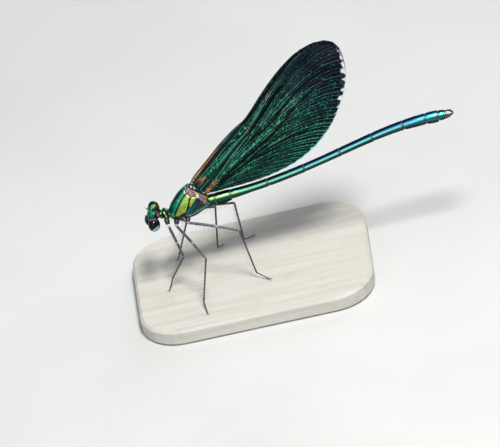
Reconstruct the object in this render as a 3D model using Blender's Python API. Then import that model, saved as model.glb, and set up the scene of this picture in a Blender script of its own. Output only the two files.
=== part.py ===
"""Male demoiselle damselfly at rest, life size, on a plain display base.

Sizes below are millimetres. The head points along -X, the tail along +X, the
insect's left side is -Y, and the feet stand on the level z = 0 until the whole
model is centred over the origin at the end.
"""
import math
import random

import bmesh
import bpy
from mathutils import Matrix, Vector

MM = 0.001
GAP = 0.3
SIDES = {"left": -1, "right": 1}
SMOOTH_ANGLE = 50.0
STEEP = 0.95
CURVE_DETAIL = 40

# Display base
BASE_SIZE = (35.0, 25.0, 2.6)
BASE_CENTRE_X = 6.5
BASE_CORNER = 6.0
BASE_EDGE = 0.4
BASE_ARC_STEPS = 6
BASE_SMOOTH_ANGLE = 30.0

# Head, drawn facing straight forward and then turned a little to its right
HEAD_CENTRE = Vector((-5.74, 0.0, 12.25))
HEAD_TURN = math.radians(-4.6)
HEAD_TILT = math.radians(3.6)
HEAD_HALF_LENGTH = 0.92
HEAD_HALF_HEIGHT = 1.12
HEAD_HALF_WIDTH = 1.75
HEAD_SQUARENESS = 2.5
HEAD_END_ROUNDING = 3.0
HEAD_END_TRIM = 0.995
HEAD_STEPS = 12
HEAD_SIDES = 18
EYE_CENTRE = Vector((-5.74, 1.92, 12.31))
EYE_HALF = (0.95, 1.12, 1.17)
EYE_GRID = (20, 12)
FACE_CENTRE = Vector((-6.88, 0.0, 11.72))
FACE_HALF = (0.36, 0.86, 0.66)
MOUTH_CENTRE = Vector((-6.1, 0.0, 10.42))
MOUTH_HALF = (0.66, 0.7, 0.4)
FACE_GRID = (16, 10)
OCELLI = ((-0.62, 0.0, 0.92), (-0.2, 0.36, 1.06), (-0.2, -0.36, 1.06))
OCELLUS_RADIUS = 0.17
OCELLUS_GRID = (8, 6)
ANTENNA_ROOT = Vector((-6.72, 0.6, 12.95))
ANTENNA_BEND = Vector((-0.3, 0.2, 0.3))
ANTENNA_TIP = Vector((-0.95, 0.75, 0.9))
ANTENNA_RADII = (0.27, 0.25, 0.13)
ANTENNA_SIDES = 8

# Neck plates, as stations along the body: x, height of centre, half width, half height
PROTHORAX_STATIONS = (
    (-4.62, 12.22, 0.36, 0.38),
    (-4.50, 12.22, 0.60, 0.60),
    (-4.30, 12.22, 0.74, 0.78),
    (-4.12, 12.20, 0.66, 0.70),
    (-3.92, 12.18, 0.80, 0.84),
    (-3.72, 12.16, 0.66, 0.72),
    (-3.62, 12.14, 0.50, 0.52),
)
PROTHORAX_SIDES = 14
PROTHORAX_SQUARENESS = 2.4

# Thorax, as stations along the body: x, top, underside, half width
THORAX_STATIONS = (
    (-3.32, 12.78, 11.50, 0.60),
    (-3.12, 13.20, 11.20, 0.98),
    (-2.60, 13.88, 10.98, 1.36),
    (-1.85, 14.72, 10.88, 1.68),
    (-1.00, 15.48, 10.86, 1.88),
    (-0.20, 15.94, 10.98, 1.96),
    (0.55, 15.92, 11.26, 1.94),
    (1.25, 15.46, 11.62, 1.82),
    (1.85, 14.94, 11.96, 1.56),
    (2.30, 14.40, 12.28, 1.18),
    (2.55, 14.02, 12.50, 0.82),
)
THORAX_SIDES = 22
THORAX_SQUARENESS = 2.35
THORAX_ANCHOR = (0.0, 0.0, 13.5)

# Wings: base point and lean of each pair, and their places beside the middle
WING_THICKNESS = 0.5
VEIN_HEIGHT = 0.08
WING_PITCH = WING_THICKNESS + 2.0 * VEIN_HEIGHT + GAP
WINGS = {
    "forewing": {
        "base": (0.90, 16.20),
        "lean": 42.2,
        "offset": 0.5 * WING_PITCH,
        "root": (0.45, -0.95),
        "lead": ((3.2, 1.0), (6.2, 1.3), (10.6, 0.8), (12.9, 0.6), (19.0, 1.3), (25.5, 1.6), (29.2, 0.8)),
        "margin": ((31.6, -1.0), (32.1, -3.0), (30.6, -5.4), (26.6, -7.7),
                   (21.6, -9.0), (16.0, -9.0), (10.8, -7.7)),
        "trail": ((2.4, -2.3), (6.2, -5.2)),
    },
    "hindwing": {
        "base": (2.40, 15.50),
        "lean": 40.2,
        "offset": 1.5 * WING_PITCH,
        "root": (0.45, -0.95),
        "lead": ((2.6, 0.7), (5.6, 1.1), (10.3, 1.1), (12.2, 1.1), (18.4, 2.3), (25.2, 3.3), (28.4, 2.7)),
        "margin": ((30.7, 1.2), (31.4, -0.9), (30.2, -3.2), (26.4, -6.0),
                   (21.2, -8.0), (15.6, -8.7), (10.4, -7.6)),
        "trail": ((2.2, -2.6), (5.8, -5.3)),
    },
}
WING_STATIONS = 15
MARGIN_STATIONS = 161
WING_SMOOTH_ANGLE = 40.0
VEIN_PLACES = (0.07, 0.17, 0.28, 0.39, 0.50, 0.61, 0.73, 0.86)
VEIN_HALF_WIDTH = 0.22
VEIN_FAN = 0.85
VEIN_SPREAD_AT_ROOT = 8.0
AXILLARY_LENGTH = 1.2
AXILLARY_HALF = 0.34
AXILLARY_SIDES = 8
AXILLARY_SQUARENESS = 4.0

# Abdomen segments from the thorax back: length, slope in degrees, radius at front, middle and back
ABDOMEN_START = Vector((2.72, 0.0, 13.2))
ABDOMEN = (
    (0.95, 3.0, 0.68, 0.74, 0.72),
    (2.40, 2.0, 0.72, 0.76, 0.66),
    (5.75, 6.5, 0.62, 0.50, 0.54),
    (5.85, 11.0, 0.52, 0.50, 0.56),
    (5.85, 14.5, 0.54, 0.53, 0.60),
    (5.30, 15.5, 0.57, 0.56, 0.62),
    (4.90, 12.0, 0.58, 0.58, 0.66),
    (3.45, 6.5, 0.62, 0.64, 0.72),
    (1.95, 1.5, 0.68, 0.70, 0.70),
    (1.05, -3.0, 0.62, 0.62, 0.54),
)
ABDOMEN_SIDES = 12
ABDOMEN_RINGS = (0.0, 0.05, 0.3, 0.6, 0.9, 1.0)
ABDOMEN_END_LIP = 0.05
CERCUS_REACH = 1.35
CERCUS_BASE_SPREAD = 0.34
CERCUS_BOW = 0.30
CERCUS_PINCH = 0.1
CERCUS_RADII = (0.26, 0.26, 0.25, 0.22, 0.12)
PARAPROCT_LENGTH = 0.7
PARAPROCT_SPREAD = 0.42
PARAPROCT_RADII = (0.26, 0.24, 0.12)
CERCUS_LIFT = 0.2
PARAPROCT_DROP = 0.46
CLASPER_SIDES = 8

# Leg joints on each side: body root, hip, knee, ankle and toe
LEGS = {
    "fore": {
        "root": (-4.02, 0.55, 11.55),
        "hip": (-3.90, 1.42, 10.82),
        "left": ((-2.75, -2.65, 5.80), (-5.25, -0.95, 1.20), (-6.00, -1.75, 0.0)),
        "right": ((-1.50, 4.60, 6.80), (-3.75, 4.75, 1.20), (-4.20, 5.30, 0.0)),
    },
    "mid": {
        "root": (-2.55, 1.05, 11.38),
        "hip": (-2.75, 1.74, 10.82),
        "left": ((0.60, -7.20, 7.80), (-1.20, -7.60, 0.75), (-1.00, -9.60, 0.0)),
        "right": ((3.10, 4.90, 8.10), (2.00, 4.90, 0.90), (2.70, 6.70, 0.0)),
    },
    "hind": {
        "root": (-0.90, 1.05, 11.32),
        "hip": (-0.98, 1.76, 10.95),
        "left": ((6.20, -3.70, 9.00), (7.10, -3.20, 0.70), (8.80, -4.40, 0.0)),
        "right": ((6.00, 4.00, 8.70), (6.00, 5.90, 0.60), (7.40, 7.40, 0.0)),
    },
}
LEG_SIDES = 8
SOCKET_SIDES = 12
COXA_RADII = (0.48, 0.42)
FEMUR_RADII = (0.32, 0.31, 0.28, 0.27)
TIBIA_RADII = (0.26, 0.25, 0.25, 0.25)
TARSUS_RADII = (0.25, 0.25, 0.2)
SPINE_SEED = 7
SPINE_ROOT_RADIUS = 0.17
SPINE_TIP_RADIUS = 0.03
SPINE_SLANT = 0.55
SPINE_SPREAD = 0.9
SPINE_SIDES = 4
SPINE_LENGTH_SPREAD = (0.85, 1.1)

# Spines in each row of a limb: how many, how long, and where the row starts and ends
SPINES = {"femur": (4, 0.75, 0.22, 0.86), "tibia": (5, 1.0, 0.12, 0.84)}


def clear_scene():
    for item in list(bpy.data.objects):
        bpy.data.objects.remove(item, do_unlink=True)


def make_material(name, colour, roughness, metallic=0.0):
    material = bpy.data.materials.new(name)
    material.use_nodes = True
    shader = material.node_tree.nodes["Principled BSDF"]
    shader.inputs["Base Color"].default_value = (*colour, 1.0)
    shader.inputs["Roughness"].default_value = roughness
    shader.inputs["Metallic"].default_value = metallic
    return material


def new_object(name, vertices, faces, anchor=(0.0, 0.0, 0.0)):
    """A mesh object from millimetre points, with its origin on its anchor point."""
    anchor = Vector(anchor)
    mesh = bpy.data.meshes.new(name)
    mesh.from_pydata([(Vector(v) - anchor) * MM for v in vertices], [], faces)
    mesh.update()
    item = bpy.data.objects.new(name, mesh)
    item.location = anchor * MM
    bpy.context.collection.objects.link(item)
    return item


def finish_node(item, material, smooth_angle=SMOOTH_ANGLE):
    item.data.materials.clear()
    item.data.materials.append(material)
    item.data.shade_smooth()
    item.data.set_sharp_from_angle(angle=math.radians(smooth_angle))
    item.parent = stand_point
    return item


def skin_rings(rings):
    """Faces over equal rings of points, with a triangle fan on each end."""
    count = len(rings[0])
    vertices = [Vector(p) for ring in rings for p in ring]
    faces = []
    for i in range(len(rings) - 1):
        for j in range(count):
            k = (j + 1) % count
            faces.append((i * count + j, i * count + k, (i + 1) * count + k, (i + 1) * count + j))
    for ring_index, flip in ((0, True), (len(rings) - 1, False)):
        first = ring_index * count
        vertices.append(sum((Vector(p) for p in rings[ring_index]), Vector()) / count)
        hub = len(vertices) - 1
        for j in range(count):
            k = (j + 1) % count
            faces.append((hub, first + k, first + j) if flip else (hub, first + j, first + k))
    return vertices, faces


def frame_along(direction):
    """Two unit vectors square to a direction, the second one as upright as it can be."""
    direction = Vector(direction).normalized()
    helper = Vector((0.0, 0.0, 1.0)) if abs(direction.z) < STEEP else Vector((-1.0, 0.0, 0.0))
    across = helper.cross(direction).normalized()
    return across, direction.cross(across).normalized()


def ring_at(centre, across, upward, half_across, half_up, sides, squareness=2.0):
    points = []
    for j in range(sides):
        angle = 2.0 * math.pi * (j + 0.5) / sides
        c, s = math.cos(angle), math.sin(angle)
        scale = (abs(c) ** squareness + abs(s) ** squareness) ** (-1.0 / squareness)
        points.append(centre + across * (half_across * scale * c) + upward * (half_up * scale * s))
    return points


def limb(start, end, radii, start_normal, end_normal, sides=LEG_SIDES, floor=None):
    """A tapered straight limb whose two ends are cut by the given mitre planes."""
    start, end = Vector(start), Vector(end)
    direction = (end - start).normalized()
    across, upward = frame_along(direction)
    count = len(radii)
    rings = []
    for i, radius in enumerate(radii):
        centre = start.lerp(end, i / (count - 1))
        ring = ring_at(centre, across, upward, radius, radius, sides)
        if i in (0, count - 1):
            plane_point, normal = (start, start_normal) if i == 0 else (end, end_normal)
            sign = 1.0 if i == 0 else -1.0
            plane_point = plane_point + normal * (sign * 0.5 * GAP)
            ring = [p + direction * ((plane_point - p).dot(normal) / direction.dot(normal)) for p in ring]
        if floor is not None:
            ring = [Vector((p.x, p.y, max(p.z, floor))) for p in ring]
        rings.append(ring)
    return skin_rings(rings)


def mitre(before, after):
    """The plane normal half way between two limb directions."""
    return (Vector(before).normalized() + Vector(after).normalized()).normalized()


def ellipsoid(centre, half, grid):
    """Points and faces of a closed ellipsoid whose poles lie on the Y axis."""
    centre = Vector(centre)
    around, down = grid
    vertices = [centre + Vector((0.0, half[1], 0.0))]
    for i in range(1, down):
        polar = math.pi * i / down
        for j in range(around):
            turn = 2.0 * math.pi * j / around
            vertices.append(centre + Vector((
                half[0] * math.sin(polar) * math.cos(turn),
                half[1] * math.cos(polar),
                half[2] * math.sin(polar) * math.sin(turn))))
    vertices.append(centre - Vector((0.0, half[1], 0.0)))
    last = len(vertices) - 1
    faces = []
    for j in range(around):
        k = (j + 1) % around
        faces.append((0, 1 + k, 1 + j))
        foot = 1 + (down - 2) * around
        faces.append((last, foot + j, foot + k))
        for i in range(down - 2):
            a, b = 1 + i * around, 1 + (i + 1) * around
            faces.append((a + j, a + k, b + k, b + j))
    return vertices, faces


def combine(base, others, operation):
    """One Boolean of a base object with a collection of closed meshes, applied."""
    group = bpy.data.collections.new(base.name + "_pieces")
    bpy.context.scene.collection.children.link(group)
    for other in others:
        bpy.context.collection.objects.unlink(other)
        group.objects.link(other)
    modifier = base.modifiers.new("Join", "BOOLEAN")
    modifier.operation = operation
    modifier.operand_type = "COLLECTION"
    modifier.collection = group
    modifier.solver = "EXACT"
    graph = bpy.context.evaluated_depsgraph_get()
    joined = bpy.data.meshes.new_from_object(base.evaluated_get(graph), depsgraph=graph)
    base.modifiers.remove(modifier)
    base.data = joined
    for other in others:
        bpy.data.objects.remove(other, do_unlink=True)
    bpy.data.collections.remove(group)
    keep_largest_surface(base)
    return base


def shell_volume(shell):
    return abs(sum(f.verts[0].co.dot(f.verts[1].co.cross(f.verts[2].co)) for f in shell))


def keep_largest_surface(item):
    """Drop every closed surface of a mesh but the one with the largest volume."""
    shape = bmesh.new()
    shape.from_mesh(item.data)
    bmesh.ops.triangulate(shape, faces=shape.faces[:])
    unseen = set(shape.faces)
    shells = []
    while unseen:
        shell = set()
        edge_front = [unseen.pop()]
        while edge_front:
            face = edge_front.pop()
            shell.add(face)
            for edge in face.edges:
                for neighbour in edge.link_faces:
                    if neighbour in unseen:
                        unseen.remove(neighbour)
                        edge_front.append(neighbour)
        shells.append(shell)
    largest = max(shells, key=shell_volume)
    scraps = [face for shell in shells if shell is not largest for face in shell]
    bmesh.ops.delete(shape, geom=scraps, context="FACES")
    shape.to_mesh(item.data)
    shape.free()


def smooth_curve(points, count):
    """Points evenly spread in parameter along a Catmull-Rom curve."""
    points = [Vector(p) for p in points]
    padded = [points[0] * 2.0 - points[1]] + points + [points[-1] * 2.0 - points[-2]]
    spans = len(points) - 1
    result = []
    for i in range(count):
        place = spans * i / (count - 1)
        span = min(int(place), spans - 1)
        t = place - span
        a, b, c, d = padded[span:span + 4]
        result.append(0.5 * (2.0 * b + (c - a) * t + (2.0 * a - 5.0 * b + 4.0 * c - d) * t * t
                             + (3.0 * b - a - 3.0 * c + d) * t * t * t))
    return result


def even_curve(points, count):
    """Points at equal distances along a Catmull-Rom curve."""
    dense = smooth_curve(points, CURVE_DETAIL * len(points))
    lengths = [0.0]
    for a, b in zip(dense, dense[1:]):
        lengths.append(lengths[-1] + (b - a).length)
    result = []
    index = 0
    for i in range(count):
        target = lengths[-1] * i / (count - 1)
        while index < len(lengths) - 2 and lengths[index + 1] < target:
            index += 1
        step = lengths[index + 1] - lengths[index]
        result.append(dense[index].lerp(dense[index + 1], (target - lengths[index]) / step))
    return result


def build_base():
    length, width, height = BASE_SIZE
    outline = []
    for corner in range(4):
        sign_x = (1, -1, -1, 1)[corner]
        sign_y = (1, 1, -1, -1)[corner]
        centre = Vector((sign_x * (0.5 * length - BASE_CORNER), sign_y * (0.5 * width - BASE_CORNER), 0.0))
        for step in range(BASE_ARC_STEPS + 1):
            angle = math.radians(90.0 * (corner + step / BASE_ARC_STEPS))
            outline.append((centre, Vector((math.cos(angle), math.sin(angle), 0.0))))
    levels = ((-height, BASE_EDGE), (-height + BASE_EDGE, 0.0), (-BASE_EDGE, 0.0), (0.0, BASE_EDGE))
    origin = Vector((BASE_CENTRE_X, 0.0, -GAP))
    rings = []
    for level, inset in levels:
        rings.append([origin + centre + outward * (BASE_CORNER - inset) + Vector((0.0, 0.0, level))
                      for centre, outward in outline])
    vertices, faces = skin_rings(rings)
    finish_node(new_object("stand_base", vertices, faces, origin), materials["base"], BASE_SMOOTH_ANGLE)


def turned(points):
    """Points of the forward-facing head, turned to the pose of the photograph."""
    turn = Matrix.Rotation(HEAD_TURN, 3, "Z") @ Matrix.Rotation(HEAD_TILT, 3, "X")
    return [HEAD_CENTRE + turn @ (Vector(p) - HEAD_CENTRE) for p in points]


def head_piece(name, vertices, faces, anchor=HEAD_CENTRE):
    return new_object(name, turned(vertices), faces, turned([anchor])[0])


def build_eyes():
    for side, sign in SIDES.items():
        centre = Vector((EYE_CENTRE.x, sign * EYE_CENTRE.y, EYE_CENTRE.z))
        eye = head_piece("eye_" + side, *ellipsoid(centre, EYE_HALF, EYE_GRID), centre)
        finish_node(eye, materials["eye"])


def head_core():
    """The head between the eyes: a rounded drum that lies across the body."""
    forward, upward = Vector((-1.0, 0.0, 0.0)), Vector((0.0, 0.0, 1.0))
    rings = []
    for step in range(HEAD_STEPS + 1):
        across = 2.0 * step / HEAD_STEPS - 1.0
        y = HEAD_HALF_WIDTH * math.sin(0.5 * math.pi * across) * HEAD_END_TRIM
        size = (1.0 - abs(y / HEAD_HALF_WIDTH) ** HEAD_END_ROUNDING) ** (1.0 / HEAD_END_ROUNDING)
        centre = HEAD_CENTRE + Vector((0.0, y, 0.0))
        rings.append(ring_at(centre, forward, upward, HEAD_HALF_LENGTH * size, HEAD_HALF_HEIGHT * size,
                             HEAD_SIDES, HEAD_SQUARENESS))
    return skin_rings(rings)


def build_head():
    head = head_piece("head", *head_core())
    bumps = []
    for place in OCELLI:
        size = (OCELLUS_RADIUS, OCELLUS_RADIUS, OCELLUS_RADIUS)
        bumps.append(head_piece("ocellus", *ellipsoid(HEAD_CENTRE + Vector(place), size, OCELLUS_GRID)))
    combine(head, bumps, "UNION")
    cutters = []
    for sign in SIDES.values():
        centre = Vector((EYE_CENTRE.x, sign * EYE_CENTRE.y, EYE_CENTRE.z))
        wide = [half + GAP for half in EYE_HALF]
        cutters.append(head_piece("socket", *ellipsoid(centre, wide, EYE_GRID)))
    for centre, half in ((FACE_CENTRE, FACE_HALF), (MOUTH_CENTRE, MOUTH_HALF)):
        wide = [size + GAP for size in half]
        cutters.append(head_piece("seat", *ellipsoid(centre, wide, FACE_GRID)))
    combine(head, cutters, "DIFFERENCE")
    finish_node(head, materials["green"])
    face = head_piece("face", *ellipsoid(FACE_CENTRE, FACE_HALF, FACE_GRID), FACE_CENTRE)
    finish_node(face, materials["green"])
    mouth = head_piece("mouthparts", *ellipsoid(MOUTH_CENTRE, MOUTH_HALF, FACE_GRID), MOUTH_CENTRE)
    finish_node(mouth, materials["dark"])


def build_antennae():
    for side, sign in SIDES.items():
        mirror = Vector((1.0, sign, 1.0))
        root = ANTENNA_ROOT * mirror
        bend = root + ANTENNA_BEND * mirror
        tip = root + ANTENNA_TIP * mirror
        first = (bend - root).normalized()
        last = (tip - bend).normalized()
        rings = []
        for centre, along, radius in zip((root, bend, tip), (first, mitre(first, last), last), ANTENNA_RADII):
            across, upward = frame_along(along)
            rings.append(ring_at(centre, across, upward, radius, radius, ANTENNA_SIDES))
        vertices, faces = skin_rings(rings)
        finish_node(head_piece("antenna_" + side, vertices, faces, root), materials["dark"])


def hip_sockets(leg_names):
    """Cutters that open a socket with the usual gap round each named leg's first piece."""
    cutters = []
    for leg_name in leg_names:
        for sign in SIDES.values():
            mirror = Vector((1.0, sign, 1.0))
            root = Vector(LEGS[leg_name]["root"]) * mirror
            hip = Vector(LEGS[leg_name]["hip"]) * mirror
            along = (hip - root).normalized()
            wide = [radius + GAP for radius in COXA_RADII]
            tube = limb(root - along * GAP, hip, wide, along, along, SOCKET_SIDES)
            cutters.append(new_object("socket", *tube))
    return cutters


def build_prothorax():
    across, upward = Vector((0.0, 1.0, 0.0)), Vector((0.0, 0.0, 1.0))
    rings = []
    for x, height, half_width, half_height in PROTHORAX_STATIONS:
        rings.append(ring_at(Vector((x, 0.0, height)), across, upward, half_width, half_height,
                             PROTHORAX_SIDES, PROTHORAX_SQUARENESS))
    vertices, faces = skin_rings(rings)
    anchor = (PROTHORAX_STATIONS[0][0], 0.0, PROTHORAX_STATIONS[0][1])
    prothorax = new_object("prothorax", vertices, faces, anchor)
    combine(prothorax, hip_sockets(("fore",)), "DIFFERENCE")
    finish_node(prothorax, materials["green"])


def build_thorax():
    across, upward = Vector((0.0, 1.0, 0.0)), Vector((0.0, 0.0, 1.0))
    rings = []
    for x, top, underside, half_width in THORAX_STATIONS:
        centre = Vector((x, 0.0, 0.5 * (top + underside)))
        half_height = 0.5 * (top - underside)
        rings.append(ring_at(centre, across, upward, half_width, half_height,
                             THORAX_SIDES, THORAX_SQUARENESS))
    vertices, faces = skin_rings(rings)
    thorax = new_object("thorax", vertices, faces, THORAX_ANCHOR)
    pads = []
    for wing in WINGS.values():
        along, lift = wing_axes(wing)
        high, low = wing["root"]
        half = 0.5 * (high - low)
        for sign in SIDES.values():
            face = Vector((wing["base"][0], sign * wing["offset"], wing["base"][1])) - along * GAP
            outer = face + lift * (0.5 * (high + low))
            pad_rings = [ring_at(centre, across, lift, AXILLARY_HALF, half,
                                 AXILLARY_SIDES, AXILLARY_SQUARENESS)
                         for centre in (outer, outer - along * AXILLARY_LENGTH)]
            pads.append(new_object("pad", *skin_rings(pad_rings)))
    combine(thorax, pads, "UNION")
    combine(thorax, hip_sockets(("mid", "hind")), "DIFFERENCE")
    finish_node(thorax, materials["green"])


def wing_axes(wing):
    lean = math.radians(wing["lean"])
    return Vector((math.cos(lean), 0.0, math.sin(lean))), Vector((-math.sin(lean), 0.0, math.cos(lean)))


def point_on(curve, t):
    place = t * (len(curve) - 1)
    index = min(int(place), len(curve) - 2)
    return curve[index].lerp(curve[index + 1], place - index)


def wing_edges(wing):
    """The front edge, hind edge and margin of a wing as curves in its own plane."""
    high, low = wing["root"]
    return {
        "lead": even_curve([(0.0, high, 0.0), *(raised(p) for p in wing["lead"])], WING_STATIONS),
        "trail": even_curve([(0.0, low, 0.0), *(raised(p) for p in wing["trail"])], WING_STATIONS),
        "margin": even_curve([raised(p) for p in (wing["lead"][-1], *wing["margin"], wing["trail"][-1])],
                             MARGIN_STATIONS),
    }


def raised(point):
    return Vector((point[0], point[1], 0.0))


def wing_line(edges, place, root_place):
    """One line of the wing from its root to its margin, in the wing's own plane.

    Place runs from 0 at the front edge to 1 at the hind edge. Lines leave the
    root side by side, keep near the front edge, then curve back to the margin.
    """
    tip_end = edges["lead"][-1]
    trail_end = edges["trail"][-1]
    line = []
    for j in range(WING_STATIONS):
        t = j / (WING_STATIONS - 1)
        crowd = (1.0 - t) ** VEIN_SPREAD_AT_ROOT
        fan = place ** (1.0 + VEIN_FAN * (1.0 - t))
        fan += (root_place - place ** (1.0 + VEIN_FAN)) * crowd
        between = edges["lead"][j].lerp(edges["trail"][j], fan)
        end = point_on(edges["margin"], fan)
        line.append(between + (end - tip_end.lerp(trail_end, fan)) * t)
    return line


def vein_foot(vein, middle):
    """The line beside a vein where its ridge meets the membrane."""
    row = []
    for a, b in zip(vein, middle):
        reach = (b - a).length
        row.append(a.lerp(b, min(VEIN_HALF_WIDTH, 0.5 * reach) / reach))
    return row


def wing_rows(edges):
    """Rows of points with their ridge height: each vein has a crest and two feet."""
    places = (0.0, *VEIN_PLACES, 1.0)
    count = len(places)
    veins = [wing_line(edges, place, i / (count - 1)) for i, place in enumerate(places)]
    middles = [wing_line(edges, 0.5 * (a + b), (i + 0.5) / (count - 1))
               for i, (a, b) in enumerate(zip(places, places[1:]))]
    rows = []
    for i, vein in enumerate(veins):
        if i > 0:
            rows.append((middles[i - 1], 0.0))
            rows.append((vein_foot(vein, middles[i - 1]), 0.0))
        rows.append((vein, 1.0))
        if i < count - 1:
            rows.append((vein_foot(vein, middles[i]), 0.0))
    return rows


def build_wing(name, wing, side, sign):
    along, lift = wing_axes(wing)
    rows = wing_rows(wing_edges(wing))
    base = Vector((wing["base"][0], sign * wing["offset"], wing["base"][1]))
    vertices = []
    for face_sign in (-1.0, 1.0):
        for row, height in rows:
            half = 0.5 * WING_THICKNESS + VEIN_HEIGHT * height
            for point in row:
                offset = Vector((0.0, face_sign * half, 0.0))
                vertices.append(base + along * point.x + lift * point.y + offset)
    count, stations = len(rows), WING_STATIONS
    sheet = count * stations
    faces = []
    for i in range(count - 1):
        for j in range(stations - 1):
            a, b = i * stations + j, (i + 1) * stations + j
            for corner in ((a, b, b + 1), (a, b + 1, a + 1)):
                faces.append(corner)
                faces.append(tuple(sheet + c for c in corner[::-1]))
    rim = list(range(stations))
    rim += [i * stations + stations - 1 for i in range(1, count)]
    rim += [(count - 1) * stations + j for j in range(stations - 2, -1, -1)]
    rim += [i * stations for i in range(count - 2, 0, -1)]
    for a, b in zip(rim, rim[1:] + rim[:1]):
        faces.append((a, b, sheet + b))
        faces.append((a, sheet + b, sheet + a))
    wing_object = new_object("_".join((name, side)), vertices, faces, base)
    turn_faces_out(wing_object)
    finish_node(wing_object, materials["wing"], WING_SMOOTH_ANGLE)


def turn_faces_out(item):
    shape = bmesh.new()
    shape.from_mesh(item.data)
    bmesh.ops.recalc_face_normals(shape, faces=shape.faces[:])
    shape.to_mesh(item.data)
    shape.free()


def build_wings():
    for name, wing in WINGS.items():
        for side, sign in SIDES.items():
            build_wing(name, wing, side, sign)


def build_abdomen():
    """Ten rings of the tail on one curved centre line, parted by the usual gap."""
    point = ABDOMEN_START.copy()
    slopes = [segment[1] for segment in ABDOMEN]
    side_axis = Vector((0.0, 1.0, 0.0))
    for index, (length, slope, front, middle, back) in enumerate(ABDOMEN):
        start_slope = 0.5 * (slopes[max(index - 1, 0)] + slope)
        end_slope = 0.5 * (slope + slopes[min(index + 1, len(slopes) - 1)])
        rings = []
        for t in ABDOMEN_RINGS:
            reach = 0.5 * GAP + (length - GAP) * t
            turned_part = reach / length
            tilt = math.radians(start_slope + (end_slope - start_slope) * turned_part)
            chord = math.radians(start_slope + 0.5 * (end_slope - start_slope) * turned_part)
            centre = point + Vector((math.cos(chord), 0.0, math.sin(chord))) * reach
            lift = Vector((-math.sin(tilt), 0.0, math.cos(tilt)))
            swell = 1.0 - (2.0 * t - 1.0) ** 2
            radius = front + (back - front) * t + (middle - 0.5 * (front + back)) * swell
            if t in (0.0, 1.0):
                radius -= ABDOMEN_END_LIP
            rings.append(ring_at(centre, side_axis, lift, radius, radius, ABDOMEN_SIDES))
        vertices, faces = skin_rings(rings)
        name = "abdomen_" + str(index + 1)
        finish_node(new_object(name, vertices, faces, point), materials["teal"])
        chord = math.radians(0.5 * (start_slope + end_slope))
        point = point + Vector((math.cos(chord), 0.0, math.sin(chord))) * length
    return point, math.radians(slopes[-1])


def curved_tube(points, radii):
    points = [Vector(p) for p in points]
    rings = []
    for i, (centre, radius) in enumerate(zip(points, radii)):
        before = points[max(i - 1, 0)]
        after = points[min(i + 1, len(points) - 1)]
        across, upward = frame_along(after - before)
        rings.append(ring_at(centre, across, upward, radius, radius, CLASPER_SIDES))
    return skin_rings(rings)


def build_claspers(end, tilt):
    along = Vector((math.cos(tilt), 0.0, math.sin(tilt)))
    lift = Vector((-along.z, 0.0, along.x))
    for side, sign in SIDES.items():
        root = end + along * (0.5 * GAP) + lift * CERCUS_LIFT
        points = []
        for i in range(len(CERCUS_RADII)):
            t = i / (len(CERCUS_RADII) - 1)
            outward = CERCUS_BASE_SPREAD + CERCUS_BOW * math.sin(math.pi * t) - CERCUS_PINCH * t
            points.append(root + along * (CERCUS_REACH * t) + Vector((0.0, sign * outward, 0.0)))
        name = "cercus_" + side
        finish_node(new_object(name, *curved_tube(points, CERCUS_RADII), root), materials["dark"])
        root = end + along * (0.5 * GAP) - lift * PARAPROCT_DROP + Vector((0.0, sign * PARAPROCT_SPREAD, 0.0))
        points = [root + along * (PARAPROCT_LENGTH * i / (len(PARAPROCT_RADII) - 1))
                  for i in range(len(PARAPROCT_RADII))]
        name = "paraproct_" + side
        finish_node(new_object(name, *curved_tube(points, PARAPROCT_RADII), root), materials["dark"])


def leg_spines(piece, start, end, inward):
    """Tapered four-sided spines in two rows along one side of a limb."""
    count, length, first, last = SPINES[piece]
    along = (end - start).normalized()
    bend_side = (inward - along * inward.dot(along)).normalized()
    cross_side = along.cross(bend_side)
    spines = []
    for row_sign in (-1.0, 1.0):
        for i in range(count):
            t = first + (last - first) * (i + 0.25 * (row_sign + 1.0)) / count
            out = bend_side * math.cos(SPINE_SPREAD) + cross_side * (row_sign * math.sin(SPINE_SPREAD))
            reach = length * random.uniform(*SPINE_LENGTH_SPREAD)
            root = start.lerp(end, t)
            tip = root + (out + along * SPINE_SLANT).normalized() * reach
            direction = (tip - root).normalized()
            across, upward = frame_along(direction)
            rings = [ring_at(centre, across, upward, radius, radius, SPINE_SIDES)
                     for centre, radius in ((root, SPINE_ROOT_RADIUS), (tip, SPINE_TIP_RADIUS))]
            spines.append(new_object("spine", *skin_rings(rings)))
    return spines


def build_leg(name, leg, side, sign):
    mirror = Vector((1.0, sign, 1.0))
    root = Vector(leg["root"]) * mirror
    hip = Vector(leg["hip"]) * mirror
    knee, ankle, toe = (Vector(p) for p in leg[side])
    toe = toe + Vector((0.0, 0.0, 0.5 * TARSUS_RADII[-1]))
    lines = [hip - root, knee - hip, ankle - knee, toe - ankle]
    normals = [lines[0].normalized()]
    normals += [mitre(a, b) for a, b in zip(lines, lines[1:])]
    normals += [lines[-1].normalized()]
    pieces = (
        ("coxa", root, hip, COXA_RADII, 0),
        ("femur", hip, knee, FEMUR_RADII, 1),
        ("tibia", knee, ankle, TIBIA_RADII, 2),
        ("tarsus", ankle, toe, TARSUS_RADII, 3),
    )
    for piece, start, end, radii, index in pieces:
        floor = 0.0 if piece == "tarsus" else None
        vertices, faces = limb(start, end, radii, normals[index], normals[index + 1], floor=floor)
        item = new_object("_".join((piece, name, side)), vertices, faces, start)
        if piece in SPINES:
            inward = (ankle - hip) if piece == "femur" else (hip - knee)
            combine(item, leg_spines(piece, start, end, inward), "UNION")
        finish_node(item, materials["dark"])


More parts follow.
